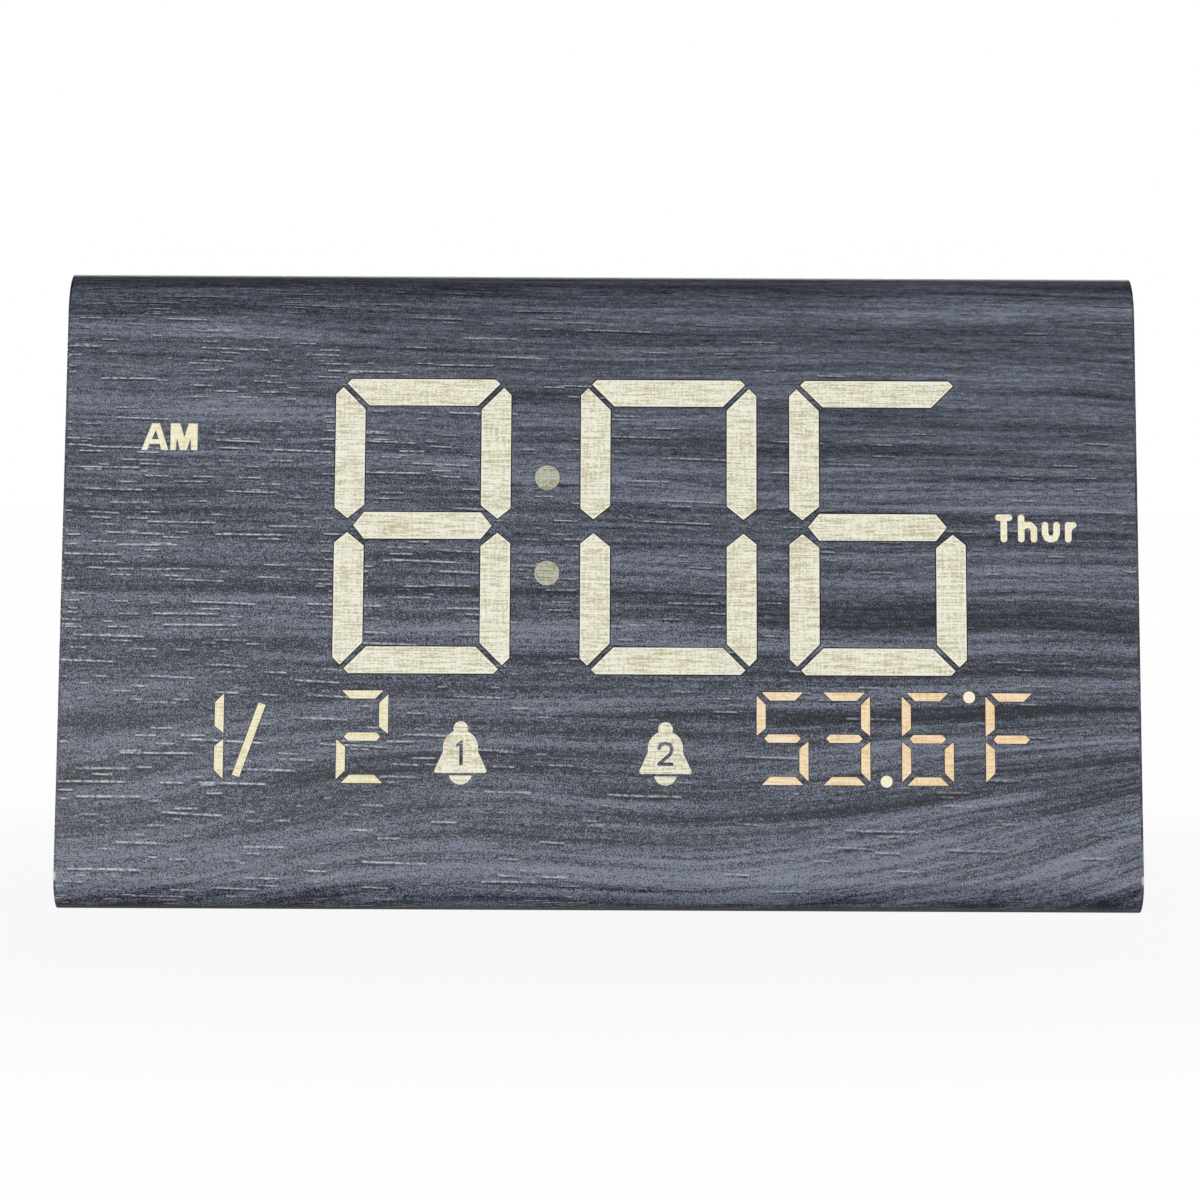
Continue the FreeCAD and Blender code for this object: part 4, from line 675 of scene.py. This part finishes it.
class Marks:
    """Raised signs in one mesh, drawn on a plane in millimetres: across, up and out of it."""

    def __init__(self, place):
        self.place = place
        self.shape = bmesh.new()
        sizes = bpy.context.scene.clock_sizes
        self.height = sizes.mark_height / MM
        self.stroke = sizes.mark_stroke / MM

    def bar(self, across, up, length, turn=0.0, stroke=0.0, height=0.0):
        """Straight stroke with rounded edges."""
        width = stroke or self.stroke
        spot = (Matrix.Translation((across, up, 0)) @ Matrix.Rotation(math.radians(turn), 4, "Z")
                @ Matrix.Diagonal((length, width, 2 * (height or self.height), 1)))
        made = bmesh.ops.create_cube(self.shape, size=1, matrix=self.place @ spot)
        edges = dict.fromkeys(edge for vertex in made["verts"] for edge in vertex.link_edges)
        bmesh.ops.bevel(self.shape, geom=list(edges), offset=width / 5 * MM, offset_type="OFFSET",
                        affect="EDGES", segments=2, profile=0.5, material=-1)

    def dot(self, across, up, radius):
        """Round stud, a little smaller at its top."""
        spot = Matrix.Translation((across, up, 0))
        bmesh.ops.create_cone(self.shape, cap_ends=True, segments=TURN_STEPS, radius1=radius,
                              radius2=radius - self.height / 4, depth=2 * self.height,
                              matrix=self.place @ spot)

    def ring(self, across, up, radius, angle=360.0):
        """Stroke along a circle or a part of one."""
        spot = self.place @ Matrix.Translation((across, up, 0))
        half = self.stroke / 2
        corners = [(radius - half, 0, -self.height), (radius + half, 0, -self.height),
                   (radius + half, 0, self.height * 0.8), (radius + half / 2, 0, self.height),
                   (radius - half / 2, 0, self.height), (radius - half, 0, self.height * 0.8)]
        verts = [self.shape.verts.new(spot @ Vector(corner)) for corner in corners]
        whole = abs(angle) >= 360.0
        section = [self.shape.edges.new(pair) for pair in zip(verts, verts[1:] + verts[:1])]
        start_faces = [] if whole else [self.shape.faces.new(verts)]
        out = (spot.to_3x3() @ Vector((0, 0, 1))).normalized()
        bmesh.ops.spin(self.shape, geom=section + verts + start_faces, cent=spot.translation, axis=out,
                       angle=math.radians(angle), steps=TURN_STEPS, use_merge=whole)
        bmesh.ops.recalc_face_normals(self.shape, faces=self.shape.faces)

    def sun(self, across, up, radius):
        """Disc with short rays."""
        self.dot(across, up, radius)
        reach = radius * 2.1
        for number in range(SUN_RAYS):
            turn = number * 360.0 / SUN_RAYS
            aside, above = math.cos(math.radians(turn)), math.sin(math.radians(turn))
            self.bar(across + reach * aside, up + reach * above, radius * 0.9, turn, self.stroke * 0.7)

    def bell(self, across, up):
        """Small bell: a dome, its two sides, its rim and its clapper."""
        self.ring(across, up + DOME_UP, DOME_RADIUS, 180.0)
        for side in (-DOME_RADIUS, DOME_RADIUS):
            self.bar(across + side, up + SIDE_UP, SIDE_LENGTH, 90)
        self.bar(across, up + BELL_RIM_UP, BELL_RIM)
        self.dot(across, up + CLAPPER_UP, CLAPPER_RADIUS)


def outer_plane(node, outward):
    """Frame on the outermost flat face of a node, in millimetres: across, up and out."""
    across = Vector((-1, 0, 0))
    shape = copied(node)
    reach = facing(shape, outward)[0].calc_center_median().dot(outward)
    shape.free()
    turn = Matrix((across, outward.cross(across), outward)).transposed().to_4x4()
    return Matrix.Translation(outward * reach) @ turn @ Matrix.Diagonal((MM, MM, MM, 1))


def centre_on(plane, node):
    """Place of a node's middle on such a frame, across and up."""
    low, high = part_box(node)
    middle = plane.inverted() @ ((Vector(low) + Vector(high)) / 2)
    return middle.x, middle.y


def cell_paint(colours):
    """Printed jacket of a dry cell: a wide field between two pale rings, and bare metal at the ends."""
    low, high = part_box("backup_cells")
    half = (high[0] - low[0]) / 2 / MM
    paint = Paint("cell_jacket", Specular_IOR_Level=0.6, Coat_Weight=0.4)
    spot = paint.parts(paint.place())[0].size()
    ring = paint.step(spot, half - RING_FROM, half - RING_FROM + SOFT_EDGE)
    ring = ring * paint.step(spot, half - RING_TO, half - RING_TO - SOFT_EDGE)
    metal = paint.step(spot, half - BARE_END, half - BARE_END + SOFT_EDGE)
    scuff = paint.noise(paint.place((2.0, 0.5, 0.5)), detail=3.0)
    print_tone = paint.mix(1.0, tuple(colours.jacket), paint.grey(0.9 + scuff * 0.2), "MULTIPLY")
    jacket = paint.mix(ring, print_tone, shade(*JACKET_RING))
    paint.colour(paint.mix(metal, jacket, shade(*CELL_METAL)))
    paint.feed(paint.shader.inputs["Metallic"], metal)
    paint.rough(0.3 + scuff * 0.15)
    paint.bump(scuff, 0.2, 0.01)
    return paint.material


class CLOCK_OT_case(bpy.types.Operator):
    """Finish the foil, the boards under it and the parts inside"""
    bl_idname = "clock.case"
    bl_label = "Case"

    def execute(self, context):
        colours = context.scene.clock_colours
        dress(foil_paint(colours, "wood_foil", False), "veneer_wrap")
        dress(foil_paint(colours, "wood_foil_ends", True), "end_foils")
        for name, colour, grain_size, depth, rough, more, nodes in PLAIN_FINISHES:
            dress(moulded_paint(name, shade(*colour), grain_size, depth, rough, **more), *nodes)
        dress(moulded_paint("rear_plastic", colours.plastic, 0.3, 0.035, 0.5),
              "rear_cover", "battery_tray")
        dress(cell_paint(colours), "backup_cells")
        return {"FINISHED"}


class CLOCK_OT_lamps(bpy.types.Operator):
    """Set the lit diffusers into the foil with a fine groove round each, its chamfer painted dark as
    shade
    """
    bl_idname = "clock.lamps"
    bl_label = "Lamps"

    def execute(self, context):
        colours = context.scene.clock_colours
        sizes = context.scene.clock_sizes
        # Brown painted shade for the groove round the small lamps.
        brown_groove_shade = shade(*BROWN_GROOVE_SHADE)
        large = lamp_materials("time_diffuser", colours.lamp_large)
        small = lamp_materials("date_diffuser", colours.lamp_left, streak=0.8, warm=colours.lamp_right,
                               thread=(0.78, 0.7, 0.42))
        warm = lamp_materials("degree_diffuser", colours.lamp_left, brown_groove_shade, streak=0.9,
                              warm=colours.lamp_right, thread=(0.84, 0.66, 0.5))
        dots = lamp_materials("dot_diffuser", colours.lamp_dot, brown_groove_shade, streak=0.3,
                              thread=(0.9, 0.84, 0.62))
        dim = lamp_materials("colon_diffuser", colours.lamp_dim, streak=2.0)
        sign = lamp_materials("sign_diffuser", colours.lamp_sign, streak=1.1)
        letters = lamp_materials("letter_diffuser", colours.lamp_letter, streak=0.7,
                                 thread=(0.78, 0.72, 0.5))
        wide, small_groove, fine = sizes.groove_width, sizes.small_groove_width, sizes.fine_groove_width
        # Each row: finish, slot, how far the glow fades in millimetres, groove, lamps.
        rows = (
            (large, "lamp_large", 0.9, wide, ("hour_digit", "minute_tens_digit", "minute_units_digit")),
            (small, "lamp_small", 0.3, small_groove, ("month_digit", "date_slash", "day_digit")),
            (warm, "lamp_small", 0.3, small_groove,
             ("temperature_tens", "temperature_units", "temperature_tenths", "temperature_letter")),
            (dots, "lamp_small", 0.35, small_groove, ("temperature_dots",)),
            (dim, "lamp_colon", 0.5, fine, ("colon_dots",)),
            (sign, "lamp_small", 0.2, fine, ("alarm_one_bell", "alarm_two_bell")),
            (letters, "lamp_small", 0.2, fine, ("am_indicator", "weekday_indicator")),
        )
        for materials, slot, fade, groove, names in rows:
            for name in names:
                chamfered_lamp(name, materials, slot, fade * MM, groove)
        return {"FINISHED"}


class CLOCK_OT_keys(bpy.types.Operator):
    """Hollow the round keys and the snooze bar, and round the feet"""
    bl_idname = "clock.keys"
    bl_label = "Keys"

    def execute(self, context):
        sizes, colours = context.scene.clock_sizes, context.scene.clock_colours
        satin = moulded_paint("key_plastic", colours.key, 0.25, 0.02, 0.38)
        for row in frame["joints"]:
            name = row["child"]
            if not name.endswith("_button"):
                continue
            shape = copied(name)
            dished(shape, against(row["name"]), KEY_RIM, KEY_RING, sizes.key_dish)
            finished(name + "_cap", shape, name, [satin], "key_black", name)
        bar = copied("snooze_bar", joined=True)
        upward = against("snooze_bar_press")
        rounded(bar, upward, sizes.snooze_edge)
        dished(bar, upward, BAR_RIM, BAR_RING, sizes.snooze_dish)
        finished("snooze_bar_cap", bar, "snooze_bar", [satin], "key_black", "snooze_bar")
        feet = copied("rubber_feet", joined=True)
        rounded(feet, Vector((0, 0, -1)), sizes.foot_edge)
        rubber = moulded_paint("foot_rubber", colours.rubber, 0.5, 0.04, 0.8)
        finished("foot_pads", feet, "case", [rubber], "foot_rubber", "rubber_feet")
        return {"FINISHED"}


class CLOCK_OT_rear(bpy.types.Operator):
    """Round the door and the knob of the rear, finish its wheel, and raise the signs on its cover"""
    bl_idname = "clock.rear"
    bl_label = "Rear"

    def execute(self, context):
        sizes, colours = context.scene.clock_sizes, context.scene.clock_colours
        outward = against("set_button_press")
        moulded = moulded_paint("door_plastic", colours.plastic, 0.3, 0.035, 0.5)
        satin = moulded_paint("knob_plastic", colours.key, 0.25, 0.02, 0.4)
        for name, material, slot in (("battery_door", moulded, "cover_black"),
                                     ("volume_knob", satin, "key_black")):
            shape = copied(name, joined=True)
            rounded(shape, outward, sizes.edge_radius)
            finished(name + "_shell", shape, name, [material], slot, name)
        dress(satin, "dimmer_wheel")

        cover = outer_plane("rear_cover", outward)
        marks = Marks(cover)
        across, up = centre_on(cover, "set_button")
        marks.ring(across, up - SIGN_DROP, RING_RADIUS)
        marks.dot(across, up - SIGN_DROP, RING_DOT)
        across, up = centre_on(cover, "up_button")
        marks.bar(across, up - SIGN_DROP, SIGN_BAR)
        marks.bar(across, up - SIGN_DROP, SIGN_BAR, 90, height=marks.height * 0.96)
        across, up = centre_on(cover, "down_button")
        marks.bar(across, up - SIGN_DROP, SIGN_BAR)
        for name, dots in (("alarm_one_button", (0.0,)),
                           ("alarm_two_button", (BELL_DOT_APART, -BELL_DOT_APART))):
            across, up = centre_on(cover, name)
            marks.bell(across + BELL_ASIDE, up - SIGN_DROP)
            for raised in dots:
                marks.dot(across + BELL_DOTS_ASIDE, up - SIGN_DROP + raised, BELL_DOT)
        across, up = centre_on(cover, "light_button")
        marks.sun(across, up - SIGN_DROP, PLAIN_SUN)
        across, up = centre_on(cover, "dimmer_wheel")
        marks.sun(across, up - WHEEL_SIGN_DROP, SMALL_SUN)
        marks.sun(across, up + WHEEL_SIGN_RISE, LARGE_SUN)
        across, up = centre_on(cover, "volume_knob")
        for number in range(3):
            marks.bar(across + STAIR_FROM + number * STAIR_PITCH, up - SIGN_DROP + number * STAIR_RISE,
                      STAIR_LEAST + number * STAIR_MORE, 90)
        finished("cover_signs", marks.shape, "case",
                 [moulded_paint("raised_signs", colours.mark, 0.2, 0.01, 0.5)], "cover_black")

        across, up = centre_on(cover, "battery_door")
        ribs = Marks(cover)
        for number in range(3):
            ribs.bar(across, up + DOOR_RIB_RISE - number * DOOR_RIB_PITCH,
                     DOOR_RIB_LENGTH - number * DOOR_RIB_LESS, stroke=sizes.rib_width / MM)
        finished("door_ribs", ribs.shape, "battery_door", [moulded], "cover_black")
        crown = outer_plane("volume_knob", outward)
        across, up = centre_on(crown, "volume_knob")
        grips = Marks(crown)
        for number in (-1, 0, 1):
            grips.bar(across + number * KNOB_RIB_PITCH, up, KNOB_RIB_LENGTH, 90,
                      stroke=sizes.rib_width / MM, height=KNOB_RIB_HEIGHT)
        finished("knob_ribs", grips.shape, "volume_knob", [satin], "key_black")
        return {"FINISHED"}


class CLOCK_OT_stage(bpy.types.Operator):
    """Set up the floor, the soft light, the white surroundings and the camera"""
    bl_idname = "clock.stage"
    bl_label = "Stage"

    def execute(self, context):
        sizes = context.scene.clock_sizes
        shape = bmesh.new()
        bmesh.ops.create_grid(shape, x_segments=1, y_segments=1, size=FLOOR_HALF)
        mesh = bpy.data.meshes.new("floor")
        shape.to_mesh(mesh)
        shape.free()
        floor = bpy.data.objects.new("floor", mesh)
        context.collection.objects.link(floor)
        paint = Paint("white_floor", Base_Color=(0.5, 0.5, 0.5), Roughness=0.9, Specular_IOR_Level=0.1)
        across, deep = paint.parts(paint.place())[:2]
        looked_at = paint.node("ShaderNodeLightPath", output="Is Camera Ray")
        mirrored = paint.node("ShaderNodeLightPath", output="Is Glossy Ray")
        mirrored = mirrored.most(paint.node("ShaderNodeLightPath", output="Is Transmission Ray"))
        # Near the clock the floor shows less of its white glow: to the camera a faint grey round it, and
        # in reflections much darker, both painted shade round and under the clock; further out it pales
        # to white.
        far = paint.step((across * across * 0.5 + deep * deep) ** 0.5, PALING_FROM / MM, PALING_TO / MM)
        shown = looked_at * (0.93 + far * 0.06) + mirrored * (0.3 + far * 0.65)
        glow = paint.node("ShaderNodeEmission", None, {"Color": (1, 1, 1), "Strength": 1.0})
        blend = paint.node("ShaderNodeMixShader", None,
                           {0: shown, 1: Wire(paint, paint.shader.outputs[0]), 2: glow})
        output = paint.tree.nodes["Material Output"]
        paint.feed(output.inputs["Surface"], blend)
        mesh.materials.append(paint.material)

        world = bpy.data.worlds.new("studio")
        context.scene.world = world
        world.use_nodes = True
        # The world has nodes but no material, so only its tree is handed over.
        room = Paint.__new__(Paint)
        room.tree = world.node_tree
        background = world.node_tree.nodes["Background"]
        up = room.parts(room.node("ShaderNodeTexCoord", output="Generated"))[2]
        looked_at = room.node("ShaderNodeLightPath", output="Is Camera Ray")
        mirrored = room.node("ShaderNodeLightPath", output="Is Glossy Ray")
        mirrored = mirrored.most(room.node("ShaderNodeLightPath", output="Is Transmission Ray"))
        seen = looked_at.most(mirrored)
        shown = 1.0 - room.step(up, 0.03, 0.4) * mirrored * 0.85
        soft = room.step(up, 0.0, 0.6, 0.3, 0.04)
        background.inputs["Color"].default_value = (1, 1, 1, 1)
        room.feed(background.inputs["Strength"], seen * shown + (1.0 - seen) * soft)

        for name, place, wide, high, energy in STAGE_LAMPS:
            lamp = bpy.data.lights.new(name, "AREA")
            lamp.shape = "RECTANGLE"
            lamp.size, lamp.size_y = wide, high
            lamp.energy = energy
            holder = bpy.data.objects.new(name, lamp)
            context.collection.objects.link(holder)
            holder.location = place
            toward = Vector(LIT_POINT) - holder.location
            holder.rotation_euler = toward.to_track_quat("-Z", "Y").to_euler()

        camera = bpy.data.cameras.new("camera")
        camera.lens = sizes.view_lens
        camera.sensor_width = SENSOR_WIDTH
        camera.clip_start = NEAR_CLIP
        eye = bpy.data.objects.new("camera", camera)
        context.collection.objects.link(eye)
        aim = Vector((0, sizes.view_aim_deep, sizes.view_aim_up))
        away = Vector((0, -math.cos(sizes.view_rise), math.sin(sizes.view_rise)))
        level = (-away).to_track_quat("-Z", "Y").to_matrix().to_4x4()
        eye.matrix_world = (Matrix.Translation(aim + away * sizes.view_distance) @ level
                            @ Matrix.Rotation(sizes.view_roll, 4, "Z"))
        context.scene.camera = eye
        context.scene.view_settings.view_transform = "Standard"
        return {"FINISHED"}


class CLOCK_PT_panel(bpy.types.Panel):
    """Sizes, colours and steps of the clock"""
    bl_idname = "CLOCK_PT_panel"
    bl_label = "Segment desk clock"
    bl_space_type = "VIEW_3D"
    bl_region_type = "UI"
    bl_category = "Clock"

    def draw(self, context):
        for group in (context.scene.clock_sizes, context.scene.clock_colours):
            for field in group.__annotations__:
                self.layout.prop(group, field)
        for step in STEPS:
            self.layout.operator(step.bl_idname)


STEPS = (CLOCK_OT_case, CLOCK_OT_lamps, CLOCK_OT_keys, CLOCK_OT_rear, CLOCK_OT_stage)
CLASSES = (ClockSizes, ClockColours, CLOCK_PT_panel) + STEPS


def register():
    """Add the classes and the settings of the scene."""
    for entry in CLASSES:
        bpy.utils.register_class(entry)
    bpy.types.Scene.clock_sizes = bpy.props.PointerProperty(type=ClockSizes)
    bpy.types.Scene.clock_colours = bpy.props.PointerProperty(type=ClockColours)


def unregister():
    """Take them away again."""
    del bpy.types.Scene.clock_colours
    del bpy.types.Scene.clock_sizes
    for entry in reversed(CLASSES):
        bpy.utils.unregister_class(entry)


def main():
    """Build every step."""
    register()
    for step in STEPS:
        group, name = step.bl_idname.split(".")
        getattr(getattr(bpy.ops, group), name)()


if __name__ == "__main__":
    main()
